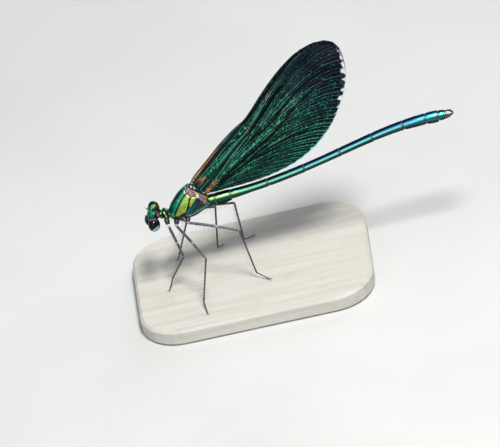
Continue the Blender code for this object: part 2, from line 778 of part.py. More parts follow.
def centre_over_origin():
    """Move the whole model so that its box stands on the origin."""
    bpy.context.view_layer.update()
    corners = [item.matrix_world @ vertex.co for item in bpy.data.objects if item.type == "MESH"
               for vertex in item.data.vertices]
    low = Vector(min(c[axis] for c in corners) for axis in range(3))
    high = Vector(max(c[axis] for c in corners) for axis in range(3))
    stand_point.location = Vector((-0.5 * (low.x + high.x), -0.5 * (low.y + high.y), -low.z))


clear_scene()
stand_point = bpy.data.objects.new("damselfly", None)
bpy.context.collection.objects.link(stand_point)
materials = {
    "green": make_material("metallic_green", (0.05, 0.32, 0.14), 0.3, 0.8),
    "teal": make_material("metallic_teal", (0.01, 0.26, 0.28), 0.28, 0.8),
    "dark": make_material("black_cuticle", (0.02, 0.018, 0.025), 0.4),
    "eye": make_material("dark_eye", (0.012, 0.008, 0.006), 0.12),
    "wing": make_material("dark_wing", (0.01, 0.07, 0.06), 0.4, 0.5),
    "base": make_material("pale_base", (0.78, 0.76, 0.72), 0.6),
}
random.seed(SPINE_SEED)
build_base()
build_head()
build_eyes()
build_antennae()
build_prothorax()
build_thorax()
build_wings()
build_claspers(*build_abdomen())
for leg_name, leg_form in LEGS.items():
    for side_name, side_sign in SIDES.items():
        build_leg(leg_name, leg_form, side_name, side_sign)
centre_over_origin()
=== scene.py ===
import math
import random

import bpy
import numpy as np
from mathutils import Matrix, Vector


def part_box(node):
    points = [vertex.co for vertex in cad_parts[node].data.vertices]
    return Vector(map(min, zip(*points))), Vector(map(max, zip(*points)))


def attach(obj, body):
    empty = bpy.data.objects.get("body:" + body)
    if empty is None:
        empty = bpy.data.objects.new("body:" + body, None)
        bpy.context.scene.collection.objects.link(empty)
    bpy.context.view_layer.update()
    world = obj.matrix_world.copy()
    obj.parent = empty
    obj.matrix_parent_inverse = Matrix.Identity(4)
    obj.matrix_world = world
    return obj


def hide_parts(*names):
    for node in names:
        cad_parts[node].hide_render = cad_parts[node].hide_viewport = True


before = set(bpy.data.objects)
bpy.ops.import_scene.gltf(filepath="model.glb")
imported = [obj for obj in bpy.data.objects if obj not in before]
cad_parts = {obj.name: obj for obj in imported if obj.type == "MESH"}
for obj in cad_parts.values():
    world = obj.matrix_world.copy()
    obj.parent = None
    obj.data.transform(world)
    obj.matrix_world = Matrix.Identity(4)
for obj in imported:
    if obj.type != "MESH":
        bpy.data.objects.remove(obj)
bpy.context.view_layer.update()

# Display base
# A small flat plate of pale painted wood with rounded corners. The feet of the
# finished insect are set down on it, because on its own claws it would tip back.
MM = 0.001
BASE_BEHIND_THORAX = 6.5
FEET_ABOVE_BASE = 0.3
BOARD_GRAIN = (60.0, 900.0, 900.0)

base_low, base_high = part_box("stand_base")
build_origin = np.array([0.5 * (base_low.x + base_high.x) - BASE_BEHIND_THORAX * MM,
                         0.0, base_high.z + FEET_ABOVE_BASE * MM])


def card(red, green, blue):
    """The linear colour of a shade read off a paint card, 0 to 255."""
    return np.array([((c / 255 + 0.055) / 1.055) ** 2.4 for c in (red, green, blue)])


def new_finish(name, sockets):
    """The finish to be mixed next, with its even values set on its own shader."""
    global tree, shader
    finish = bpy.data.materials.new(name)
    finish.use_nodes = True
    tree = finish.node_tree
    shader = tree.nodes["Principled BSDF"]
    for socket, value in sockets.items():
        shader.inputs[socket].default_value = value
    return finish


def wire(kind, sockets=None, **settings):
    """One node of the finish with its inputs set or linked. Gives back its outputs."""
    node = tree.nodes.new("ShaderNode" + kind)
    for setting, value in settings.items():
        setattr(node, setting, value)
    for socket, value in (sockets or {}).items():
        if isinstance(value, bpy.types.NodeSocket):
            tree.links.new(value, node.inputs[socket])
        else:
            node.inputs[socket].default_value = value
    return node.outputs


def feed(socket, value):
    """Leads a value into the finish's shader."""
    tree.links.new(value, shader.inputs[socket])


def blend(share, *colours, how="MIX"):
    """Two colours mixed by a share from 0 to 1."""
    first, second = (c if isinstance(c, bpy.types.NodeSocket) else (*c, 1.0) for c in colours)
    return wire("Mix", {0: share, 6: first, 7: second}, data_type="RGBA", blend_type=how)[2]


def speckle(grain, detail=3.0, roughness=0.5):
    """Cloudy variation whose patches measure about the given millimetres."""
    place = wire("TexCoord")["Object"]
    return wire("TexNoise", {"Vector": place, "Scale": 1.0 / (grain * MM), "Detail": detail,
                             "Roughness": roughness})["Fac"]


def spread(value, low, high, out_low=0.0, out_high=1.0):
    """A value stretched from one range to another and held inside it."""
    return wire("MapRange", {"Value": value, "From Min": low, "From Max": high,
                             "To Min": out_low, "To Max": out_high})["Result"]


def relief(height, depth, strength=1.0):
    """Small relief of a surface, its depth in millimetres."""
    feed("Normal", wire("Bump", {"Height": height, "Distance": depth * MM, "Strength": strength})["Normal"])


paint_finish = new_finish("pale_painted_wood", {"Specular IOR Level": 0.3})
board = wire("Mapping", {"Vector": wire("TexCoord")["Object"], "Scale": BOARD_GRAIN})["Vector"]
grain = wire("TexNoise", {"Vector": board, "Scale": 1.0, "Detail": 5.0})["Fac"]
brushed = blend(spread(grain, 0.35, 0.7), card(196, 193, 186), card(184, 180, 172))
worn = spread(speckle(2.5, 4.0), 0.55, 0.75, 0.0, 0.35)
feed("Base Color", blend(worn, brushed, card(172, 167, 157)))
feed("Roughness", spread(grain, 0.3, 0.7, 0.5, 0.68))
relief(grain, 0.02)
base_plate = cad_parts["stand_base"]
base_plate.data.materials.clear()
base_plate.data.materials.append(paint_finish)

# Thorax
# The wing box is one hard metallic shell that leans back under the wings. Black
# seams part its side plates, and each plate bulges a little between its seams.
# Highlights are painted along the back and on the side panel, and a painted glint sits high on the back.
# The night blue along the top is partly painted reflection.
THORAX_STATIONS = (
    (-3.36, 12.66, 11.56, 0.50),
    (-3.24, 12.92, 11.36, 0.76),
    (-3.00, 13.30, 11.12, 1.06),
    (-2.55, 13.90, 10.94, 1.38),
    (-1.85, 14.70, 10.86, 1.68),
    (-1.00, 15.48, 10.86, 1.88),
    (-0.20, 15.96, 10.92, 1.96),
    (0.55, 15.96, 11.16, 1.94),
    (1.25, 15.50, 11.50, 1.82),
    (1.85, 14.96, 11.82, 1.56),
    (2.30, 14.40, 12.12, 1.24),
    (2.62, 13.98, 12.34, 0.90),
)
THORAX_RINGS = 190
THORAX_AROUND = 240
SECTION_SQUARENESS = 2.3
BELLY_NARROWING = 0.30
DEGREE_WIDTH = 0.033
SHOULDER_SEAM = ((-3.3, 112), (-2.85, 96), (-2.52, 77), (-2.25, 64), (-1.89, 55), (-1.25, 43), (-0.53, 32),
                 (0.0, 22))
MIDDLE_SEAM = ((-1.9, 133), (-1.25, 111), (-0.52, 82), (0.24, 51), (0.7, 34))
HIND_SEAM = ((-1.1, 136), (-0.51, 123), (0.04, 110), (0.73, 91), (1.33, 70), (1.8, 58))
SECOND_PATCH_EDGE = ((-0.5, 92), (0.0, 82), (0.42, 73), (1.0, 58), (1.4, 48))
BELLY_LINE = ((-3.3, 113), (-2.6, 107), (-1.9, 112), (-1.3, 118), (-0.8, 123), (0.4, 123.5), (1.2, 120),
              (1.85, 115), (2.4, 113))
WING_HINGE_PLATES = (
    (-0.12, 22, 0.32, 13.0, 0.10),
    (0.52, 33, 0.60, 19.0, 0.14),
    (1.86, 44, 0.46, 19.0, 0.14),
    (2.18, 72, 0.30, 17.0, 0.09),
)
HINGE_DIVIDER = (1.32, 42, 0.11, 12.0, 0.15)
# Pale bloom on the lower side; the last, small spot high on the back is a painted glint.
BLOOM_AND_GLINT_SPOTS = ((-0.66, 122, 0.30, 8.0, 0.95), (-1.55, 126, 0.28, 3.5, 0.85), (-2.02, 100, 0.28, 4.0, 0.40),
               (-2.30, 108, 0.26, 4.0, 0.50), (-1.74, 30, 0.09, 4.0, 0.95))


def turns(count):
    """Even steps once round a ring, in radians."""
    return np.linspace(0, 2 * math.pi, count, endpoint=False)


def from_top(angles):
    """How many degrees each place of a ring lies from its top, on either side."""
    return np.degrees(np.minimum(angles, 2 * math.pi - angles))


def smooth_line(points, count):
    """Points along a smooth curve through the given ones."""
    points = np.asarray(points, float)
    padded = np.vstack([2 * points[0] - points[1], points, 2 * points[-1] - points[-2]])
    place = np.linspace(0, len(points) - 1, count)
    span = np.minimum(place.astype(int), len(points) - 2)
    t = (place - span)[:, None]
    a, b, c, d = (padded[span + i] for i in range(4))
    return 0.5 * (2 * b + (c - a) * t + (2 * a - 5 * b + 4 * c - d) * t ** 2
                  + (3 * b - a - 3 * c + d) * t ** 3)


def ease(value, low, high):
    """A soft step from 0 to 1 between two values."""
    t = np.clip((np.asarray(value, float) - low) / (high - low), 0.0, 1.0)
    return t * t * (3.0 - 2.0 * t)


def fade(value, low, high):
    """A soft step from 1 to 0 between two values."""
    return 1 - ease(value, low, high)


def hump(value, width):
    """A rounded hump of height 1 at 0."""
    return np.exp(-(np.asarray(value, float) / width) ** 2)


def brush(under, *coats):
    """A colour with coats of other colours painted over it, each where its mask says."""
    for over, mask in coats:
        under = under + (over - under) * np.asarray(mask)[..., None]
    return under


def wobble(points, size, seed):
    """Smooth random waves over points in millimetres, about -1 to 1."""
    rng = np.random.default_rng(seed)
    total = np.zeros(points.shape[:-1])
    for octave in range(3):
        for _ in range(6):
            direction = rng.normal(size=3)
            direction *= 2 * math.pi * 2 ** octave / (size * np.linalg.norm(direction))
            total = total + np.sin(points @ direction + rng.uniform(0, 2 * math.pi)) / 2 ** octave
    return total / 6.0


def wrap(rings, **marks):
    """Points, faces and marks of one closed surface over rings of points."""
    rings = np.asarray(rings, float)
    count, around = rings.shape[:2]
    index = np.arange(count * around).reshape(count, around)
    turned = np.roll(index, -1, axis=1)
    quads = np.stack([index[:-1], turned[:-1], turned[1:], index[1:]], -1).reshape(-1, 4)
    first, last = count * around, count * around + 1
    faces = quads.tolist()
    faces += [(first, b, a) for a, b in zip(index[0], turned[0])]
    faces += [(last, a, b) for a, b in zip(index[-1], turned[-1])]
    points = np.vstack([rings.reshape(-1, 3), rings[0].mean(0), rings[-1].mean(0)])
    a, b, c, d = (points[quads[:, i]] - points.mean(0) for i in range(4))
    if (a * np.cross(b, c)).sum() + (a * np.cross(c, d)).sum() < 0:
        faces = [face[::-1] for face in faces]
    flat = {}
    for name, values in marks.items():
        values = np.asarray(values, float)
        tail = values.shape[2:]
        values = np.broadcast_to(values, (count, around, *tail))
        flat[name] = np.concatenate([values.reshape(-1, *tail), values[:1].mean(1), values[-1:].mean(1)])
    return points, faces, flat


def piece(name, surfaces, finish):
    """One piece of the model from closed surfaces drawn in build millimetres."""
    points = np.vstack([s[0] for s in surfaces])
    faces, start = [], 0
    for surface in surfaces:
        faces += [tuple(int(i) + start for i in face) for face in surface[1]]
        start += len(surface[0])
    mesh = bpy.data.meshes.new(name)
    mesh.from_pydata((build_origin + points * MM).tolist(), [], faces)
    for mark in surfaces[0][2]:
        values = np.concatenate([s[2][mark] for s in surfaces])
        if values.ndim == 2:
            layer = mesh.attributes.new(mark, "FLOAT_COLOR", "POINT")
            layer.data.foreach_set("color", np.hstack([values, np.ones((len(values), 1))]).ravel())
        else:
            layer = mesh.attributes.new(mark, "FLOAT", "POINT")
            layer.data.foreach_set("value", values.ravel())
    mesh.shade_smooth()
    mesh.materials.append(finish)
    item = bpy.data.objects.new(name, mesh)
    bpy.context.scene.collection.objects.link(item)
    return item


def seam_gap(x, turn, seam):
    """Signed distance in millimetres from a seam, positive on its belly side."""
    before, line, after = (np.interp(x + step, *zip(*seam)) for step in (-0.1, 0.0, 0.1))
    slope = (after - before) / 0.2
    return (turn - line) * DEGREE_WIDTH / np.sqrt(1 + (slope * DEGREE_WIDTH) ** 2)


stations = smooth_line(THORAX_STATIONS, THORAX_RINGS)
circle = turns(THORAX_AROUND)
x = stations[:, :1] + 0 * circle
c, s = np.sin(circle), np.cos(circle)
scale = (abs(c) ** SECTION_SQUARENESS + abs(s) ** SECTION_SQUARENESS) ** (-1 / SECTION_SQUARENESS)
narrow = 1 - BELLY_NARROWING * ease(-s, 0.0, 1.0)
across = -stations[:, 3:4] * scale * c * narrow
upward = 0.5 * (stations[:, 1:2] - stations[:, 2:3]) * scale * s
turn = from_top(circle) + 0 * x
shoulder, middle, hind, belly, patch_edge = (seam_gap(x, turn, seam) for seam in (
    SHOULDER_SEAM, MIDDLE_SEAM, HIND_SEAM, BELLY_LINE, SECOND_PATCH_EDGE))
shoulder_there = fade(x, -0.2, 0.2)
middle_there = ease(x, -1.9, -1.5) * fade(x, 0.35, 0.7)
hind_there = ease(x, -1.3, -0.9)
seam_depth = (hump(shoulder, 0.10) * shoulder_there + hump(middle, 0.09) * middle_there
              + hump(hind, 0.09) * hind_there)
keel = hump(turn, 3.2) * ease(x, -3.1, -2.7) * fade(x, -0.7, -0.3)
surface_place = np.stack([x, across, upward], -1)
swell = 0.045 * np.minimum(1, np.minimum(abs(shoulder), abs(middle)) / 0.3)
lift = -0.10 * seam_depth + 0.07 * keel + swell + 0.012 * wobble(surface_place, 0.9, 3)
lift += 0.10 * hump(turn - 14, 7) * ease(x, -0.75, -0.45) * fade(x, 0.1, 0.5)
lift -= 0.06 * hump(belly, 0.08) * ease(x, -2.6, -2.0)
crumple = wobble(surface_place, 0.42, 12)
fine_crumple = wobble(surface_place, 0.20, 13)


def hinge_plate(plate):
    """How far inside one hinge plate each point lies: 1 at its middle, 0 at its rim, less outside."""
    plate_x, plate_turn, half_x, half_turn, _ = plate
    reach = np.sqrt(((x - plate_x) / half_x) ** 2 + ((turn - plate_turn) / half_turn) ** 2)
    return 1 - reach + 0.10 * crumple


plates_in = [hinge_plate(plate) for plate in WING_HINGE_PLATES]
plate_in = np.max(plates_in, axis=0)
divider_in = hinge_plate(HINGE_DIVIDER)
for inside, plate in zip([*plates_in, divider_in], [*WING_HINGE_PLATES, HINGE_DIVIDER]):
    lift = np.maximum(lift, plate[4] * np.sqrt(np.clip(inside, 0, 1)) + 0.03 * crumple)
lift -= 0.07 * hump(plate_in, 0.10) * (divider_in < 0)
lift += 0.03 * fine_crumple * ease(plate_in, 0.0, 0.2)
reach = np.hypot(across, upward)
across = across * (1 + lift / reach)
upward = upward * (1 + lift / reach) + 0.5 * (stations[:, 1:2] + stations[:, 2:3])

NIGHT_BLUE = card(4, 30, 56)
DEEP_TEAL = card(0, 104, 94)
BRIGHT_TEAL = card(6, 186, 146)
TURQUOISE_HIGHLIGHT = card(84, 235, 200)
LIME = card(156, 230, 84)
YELLOW_GREEN = card(150, 182, 56)
PALE_YELLOW = card(186, 214, 104)
GOLD = card(206, 196, 66)
SEAM_BLACK = card(6, 8, 10)
OLIVE_BLACK = card(44, 50, 16)
VIOLET_EDGE = card(58, 60, 128)
BLOOM = card(222, 220, 236)
SKIN_BROWN = card(136, 84, 80)
SKIN_DARK = card(72, 36, 40)
SKIN_PALE = card(176, 150, 158)
PEARL = card(208, 222, 240)
# Back: night blue along the top, partly the dark mid-line and partly painted reflection of the shell seen
# edge-on; above the shoulder seam a painted highlight band of bright teal and turquoise, edged with lime.
back_tone = brush(
    DEEP_TEAL, (NIGHT_BLUE, fade(turn, 6, 18)),
    (BRIGHT_TEAL, ease(shoulder, -0.95, -0.5)))
upper = ease(x, -1.8, -1.0)
back_tone = brush(
    back_tone, (card(16, 214, 166), 0.8 * upper * hump(shoulder + 0.48, 0.30)),
    (TURQUOISE_HIGHLIGHT, 0.9 * hump(shoulder + 0.46 - 0.14 * upper, 0.14) * ease(x, -2.7, -1.3)),
    (LIME, 0.9 * hump(shoulder + 0.24 - 0.06 * upper, 0.08) * ease(x, -2.4, -1.2)),
    (LIME, 0.7 * hump(np.hypot((x + 3.0) / 0.25, (turn - 70) / 16), 0.7)))
# Side panel: its pale yellow upper part and the pale green spots on it are painted highlight.
panel_tone = brush(
    YELLOW_GREEN, (PALE_YELLOW, np.clip(0.8 * hump(turn - 48, 17) + 0.25 * crumple, 0, 1)),
    (card(104, 134, 40), np.clip(0.6 * hump(turn - 78, 16) + 0.8 * fine_crumple, 0, 1)),
    (card(164, 236, 150), 0.85 * hump(turn - 52, 14) * ease(-crumple, 0.0, 0.32)),
    (card(178, 188, 120), 0.6 * hump(turn - 84, 8) * fade(x, -2.0, -1.6)),
    (card(226, 222, 90), 0.7 * hump(middle + 0.18, 0.09) * ease(turn, 40, 60)),
    (GOLD, 0.7 * hump(turn - 84, 8) * hump(middle + 0.35, 0.3)),
    (BRIGHT_TEAL, 0.25 * hump(shoulder - 0.2, 0.07)),
    (SEAM_BLACK, ease(turn, 92, 98) * fade(x, -1.1, -0.8)))
hind_panel = brush(
    NIGHT_BLUE, (DEEP_TEAL, ease(turn, 74, 100)),
    (card(6, 96, 120), 0.7 * hump(patch_edge - 0.32, 0.14)),
    (BRIGHT_TEAL, 0.5 * hump(middle - 0.25, 0.12) * ease(turn, 84, 100)),
    (brush(PALE_YELLOW, (YELLOW_GREEN, ease(turn, 60, 80))),
     fade(patch_edge, -0.06, 0.06) * ease(x, -0.35, 0.05)))
rear_panel = brush(
    card(0, 100, 84),
    (OLIVE_BLACK, np.clip(1.3 * hump(np.hypot((x - 1.4) / 0.62, (turn - 90) / 15.0), 0.95), 0, 1)),
    (VIOLET_EDGE, 0.6 * hump(hind - 0.14, 0.08)),
    (card(14, 176, 128), 0.75 * hump(belly + 0.40, 0.15)),
    (VIOLET_EDGE, 0.9 * hump(belly + 0.13, 0.09)))
thorax_tone = brush(
    back_tone, (panel_tone, ease(shoulder, -0.03, 0.03) * shoulder_there + (1 - shoulder_there)),
    (hind_panel, ease(middle, -0.03, 0.03) * ease(x, -1.9, -1.5)),
    (rear_panel, ease(hind, -0.03, 0.03) * hind_there),
    (SEAM_BLACK, ease(belly, 0.0, 0.08)))
wide_seams = np.clip(1.5 * hump(shoulder, 0.15 - 0.045 * upper) * shoulder_there
                     + 1.5 * hump(middle, 0.12) * middle_there, 0, 1)
thorax_tone = brush(
    thorax_tone, (SEAM_BLACK, wide_seams),
    (card(32, 28, 50), np.clip(1.3 * hump(hind, 0.11) * hind_there, 0, 1) * (belly < 0)),
    (card(70, 190, 140), np.clip(1.3 * hump(np.hypot((x + 2.86) / 0.15, (turn - 94) / 9), 0.9), 0, 1)))
bloom = 0.9 * hump(belly - 0.02, 0.06) * ease(x, -0.9, -0.5)
# Pale bloom, with the painted glint of the last spot.
for bloom_x, bloom_turn, half_x, half_turn, strength in BLOOM_AND_GLINT_SPOTS:
    off_spot = np.hypot((x - bloom_x) / half_x, (turn - bloom_turn) / half_turn)
    bloom = np.maximum(bloom, strength * hump(off_spot, 0.9))
thorax_tone = brush(
    thorax_tone, (BLOOM, bloom * (0.75 + 0.25 * ease(crumple, -0.3, 0.1))),
    (NIGHT_BLUE, fade(turn, 20, 34) * ease(x, -0.55, -0.2)),
    (card(70, 226, 180), hump(turn - 13, 8) * hump(x + 0.15, 0.28)))
skin_tone = brush(
    SKIN_BROWN, (SKIN_DARK, ease(fine_crumple, 0.10, 0.38)),
    (SKIN_PALE, ease(-fine_crumple, 0.12, 0.40)))
thorax_tone = brush(
    thorax_tone, (SEAM_BLACK, ease(plate_in, -0.22, -0.10) * ease(x, -0.5, -0.2)),
    (PEARL, 0.8 * ease(plate_in, -0.10, -0.04) * ease(crumple, -0.3, 0.2)),
    (skin_tone, ease(plate_in, 0.0, 0.07)),
    (PEARL, ease(divider_in, -0.1, 0.1)))
thorax_metal = 0.85 * fade(np.maximum(plate_in, divider_in), -0.15, 0.0) * (1 - bloom)


def mark(name, output="Fac"):
    """One mark painted on a piece, as its finish reads it."""
    return wire("Attribute", attribute_name=name)[output]


def mottled(share, dim, bright):
    """The tone painted on a piece, dimmed and brightened in cloudy patches."""
    return blend(1.0, mark("tone", "Color"), blend(share, dim, bright), how="MULTIPLY")


def pits(size):
    """Close-set pits or lenses of the given width in millimetres."""
    place = wire("TexCoord")["Object"]
    return wire("TexVoronoi", {"Vector": place, "Scale": 1.0 / (size * MM)})["Distance"]


shell_finish = new_finish("metallic_shell", {
    "Coat Weight": 0.2, "Coat Roughness": 0.12, "Specular IOR Level": 0.3,
    "Specular Tint": (0.35, 0.42, 0.45, 1.0)})
feed("Metallic", mark("metal"))
mottle = speckle(0.16, 4.0)
feed("Base Color", mottled(spread(mottle, 0.35, 0.68), (0.55, 0.6, 0.6), (1.35, 1.3, 1.2)))
feed("Roughness", spread(mottle, 0.3, 0.7, 0.26, 0.44))
relief(pits(0.11), 0.012, 0.7)

rings = np.stack([x, across, upward], -1)
thorax = piece("thorax_shell", [wrap(rings, tone=thorax_tone, metal=thorax_metal)], shell_finish)
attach(thorax, "root")
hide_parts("thorax")

# Wing root knobs
# Between the thorax and each wing lies crumpled skin, near-black partly as painted
# shade where the wing roots crowd the thorax, with white tendon knobs where the wings
# hinge and a teal cap in front. They are cast lumps, half sunk in.
ROOT_BLOCKS = (
    ((0.20, 0.16, 16.10), (0.40, 0.24, 0.32)),
    ((1.10, 0.34, 15.74), (0.80, 0.26, 0.38)),
    ((2.15, 0.42, 14.90), (0.66, 0.28, 0.36)),
)
TENDON_KNOBS = (
    (0.66, 0.60, 16.28, 0.15), (1.05, 0.66, 15.98, 0.13), (2.28, 0.70, 15.03, 0.18),
    (2.62, 0.66, 14.80, 0.12), (-0.16, 0.22, 16.12, 0.13),
)
ROOT_LEAN = 38.0


def flip(point, side):
    """A point or way with its sideways part turned to the given side."""
    return np.array(point, float) * (1.0, side, 1.0)


def lump(centre, half, roughness, seed, around=28, down=20, tip=None):
    """Rings of a knobbly rounded lump. A matrix may tip it."""
    polar = np.linspace(0.04, math.pi - 0.04, down)[:, None]
    angle = turns(around)[None]
    out = np.sin(polar)
    shape = np.stack([np.cos(polar) + 0 * angle, out * np.cos(angle), out * np.sin(angle)], -1) * half
    shape = shape * (1 + roughness * wobble(shape + 7.0 * seed, 0.7 * max(half), seed))[..., None]
    if tip is not None:
        shape = shape @ tip.T
    return shape + np.asarray(centre)


def two_tone(name, sockets, patches, *tones):
    """A finish that wanders between two tones, in patches of (millimetres, detail, low, high)."""
    finish = new_finish(name, sockets)
    share = spread(speckle(*patches[:2]), *patches[2:])
    feed("Base Color", blend(share, *tones))
    return finish, share


pearl_finish, pearl = two_tone(
    "pearl_skin", {"Coat Weight": 0.6, "Coat Roughness": 0.15, "Roughness": 0.35},
    (0.15, 3.0, 0.4, 0.65), card(150, 172, 205), card(236, 238, 244))
relief(pearl, 0.01)
shade_finish, dusk = two_tone(
    "root_shade", {"Metallic": 0.5, "Coat Weight": 0.5, "Coat Roughness": 0.2},
    (0.22, 4.0, 0.35, 0.7), card(8, 10, 14), card(12, 84, 80))
feed("Roughness", spread(dusk, 0.0, 1.0, 0.3, 0.5))
relief(dusk, 0.03)

blocks, knobs = [], []
lean = np.array(Matrix.Rotation(math.radians(ROOT_LEAN), 3, "Y"))
for side in (-1, 1):
    for number, (centre, half) in enumerate(ROOT_BLOCKS):
        blocks.append(wrap(lump(flip(centre, side), half, 0.12, 31 + number, 36, 26, lean)))
    for number, (*centre, radius) in enumerate(TENDON_KNOBS):
        half = (radius, 0.8 * radius, radius)
        knobs.append(wrap(lump(flip(centre, side), half, 0.14, 41 + number, 28, 18)))
for name, surfaces, finish, slot in (("wing_root_blocks", blocks, shade_finish, "thorax"),
                                     ("wing_tendon_knobs", knobs, pearl_finish, "wing")):
    roots = piece(name, surfaces, finish)
    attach(roots, "root")

# Abdomen
# Ten hard tubes in a row, each flared at its hind rim over the soft skin that joins
# it to the next. The metal runs from green in front through teal to blue at the end.
# Round each tube a painted highlight band runs along the upper flank, with painted shade below it.
ABDOMEN_START = (2.62, 0.0, 12.95)
ABDOMEN = (
    (1.05, 3.5, 0.76, 0.80, 0.79),
    (2.40, 2.5, 0.80, 0.80, 0.75),
    (5.75, 7.0, 0.73, 0.61, 0.60),
    (5.85, 11.4, 0.59, 0.60, 0.60),
    (5.85, 14.9, 0.585, 0.575, 0.61),
    (5.30, 15.8, 0.60, 0.60, 0.65),
    (4.90, 12.0, 0.62, 0.66, 0.70),
    (3.45, 4.5, 0.68, 0.73, 0.78),
    (1.95, -0.5, 0.76, 0.82, 0.80),
    (1.05, -2.0, 0.74, 0.74, 0.62),
)
SEGMENT_AROUND = 96
GROOVED_RINGS = (2, 3, 4, 5, 6)
BELLY_POUCHES = {1: 0.24, 7: 0.14, 8: 0.14}
TUBE_START = 0.06
TUBE_SHORTER_BY = 0.10
CUFF_REACH = 0.22
# Rows: place along the tail from 0 to 1, the fold in degrees from the top where the painted highlight is
# centred, the teal, the painted highlight colour and the painted shade colour.
TAIL_TONES = (
    (0.00, 46, card(30, 150, 88), card(206, 214, 150), card(14, 88, 54)),
    (0.08, 48, card(30, 150, 98), card(200, 210, 156), card(12, 80, 56)),
    (0.16, 57, card(6, 116, 110), card(160, 220, 172), card(10, 76, 60)),
    (0.45, 59, card(6, 118, 132), card(138, 214, 190), card(12, 76, 72)),
    (0.70, 58, card(6, 114, 144), card(142, 218, 200), card(12, 66, 72)),
    (0.87, 56, card(12, 136, 196), card(124, 204, 204), card(28, 84, 94)),
    (0.94, 44, card(28, 160, 176), card(84, 208, 196), card(44, 104, 110)),
    (1.00, 44, card(24, 150, 154), card(120, 206, 180), card(36, 92, 92)),
)
TAIL_DARK = card(14, 22, 74)
TAIL_UNDER = card(12, 22, 34)
TAIL_BELLY = card(14, 14, 18)
TAIL_ROSE = card(176, 84, 66)
TAIL_RING = card(104, 150, 160)


def along_slope(degrees, length):
    """A way of the given length in the middle plane, rising by some degrees towards the tail."""
    return np.array([math.cos(math.radians(degrees)), 0.0, math.sin(math.radians(degrees))]) * length


def tail_mix(along, which):
    """One entry of the tail's tones, mixed for a place between 0 and 1 along it."""
    places = [row[0] for row in TAIL_TONES]
    entries = np.array([row[which] for row in TAIL_TONES], float).reshape(len(places), -1)
    return np.array([np.interp(along, places, entry) for entry in entries.T])


def tail_ring(index, reach, radius):
    """A ring round the tail inside one segment, at a reach from its front in millimetres."""
    point, begin, finish, length = tail_spans[index]
    turned_by = (finish - begin) * (reach / length)
    centre = point + along_slope(begin + 0.5 * turned_by, reach)
    forward = along_slope(begin + turned_by, 1.0)
    raised = np.array([-forward[2], 0.0, forward[0]]) * (radius * np.cos(angles))[:, None]
    return centre + raised - np.array([0.0, 1.0, 0.0]) * (radius * np.sin(angles))[:, None]


tail_end = np.array(ABDOMEN_START)
tail_spans = []
slopes = [ABDOMEN[0][1], *(segment[1] for segment in ABDOMEN), ABDOMEN[-1][1]]
for (length, *_), before, slope, after in zip(ABDOMEN, slopes, slopes[1:], slopes[2:]):
    begin, finish = 0.5 * (before + slope), 0.5 * (slope + after)
    tail_spans.append((tail_end, begin, finish, length))
    tail_end = tail_end + along_slope(0.5 * (begin + finish), length)
tail_length = sum(segment[0] for segment in ABDOMEN)
angles = turns(SEGMENT_AROUND)
fold = from_top(angles)

tail_finish = new_finish("metallic_tail", {
    "Metallic": 0.85, "Coat Weight": 0.12, "Coat Roughness": 0.12, "Specular IOR Level": 0.3,
    "Specular Tint": (0.22, 0.32, 0.38, 1.0)})
long_grain = speckle(0.25, 4.0)
feed("Base Color", mottled(spread(long_grain, 0.35, 0.68), (0.88, 0.9, 0.92), (1.1, 1.1, 1.08)))
feed("Roughness", spread(long_grain, 0.3, 0.7, 0.27, 0.36))
relief(pits(0.07), 0.001, 0.25)
joint_finish, crease = two_tone(
    "joint_skin", {"Coat Weight": 0.3, "Coat Roughness": 0.3, "Roughness": 0.45},
    (0.12, 3.0, 0.4, 0.65), card(14, 34, 40), card(48, 80, 84))
relief(crease, 0.012)

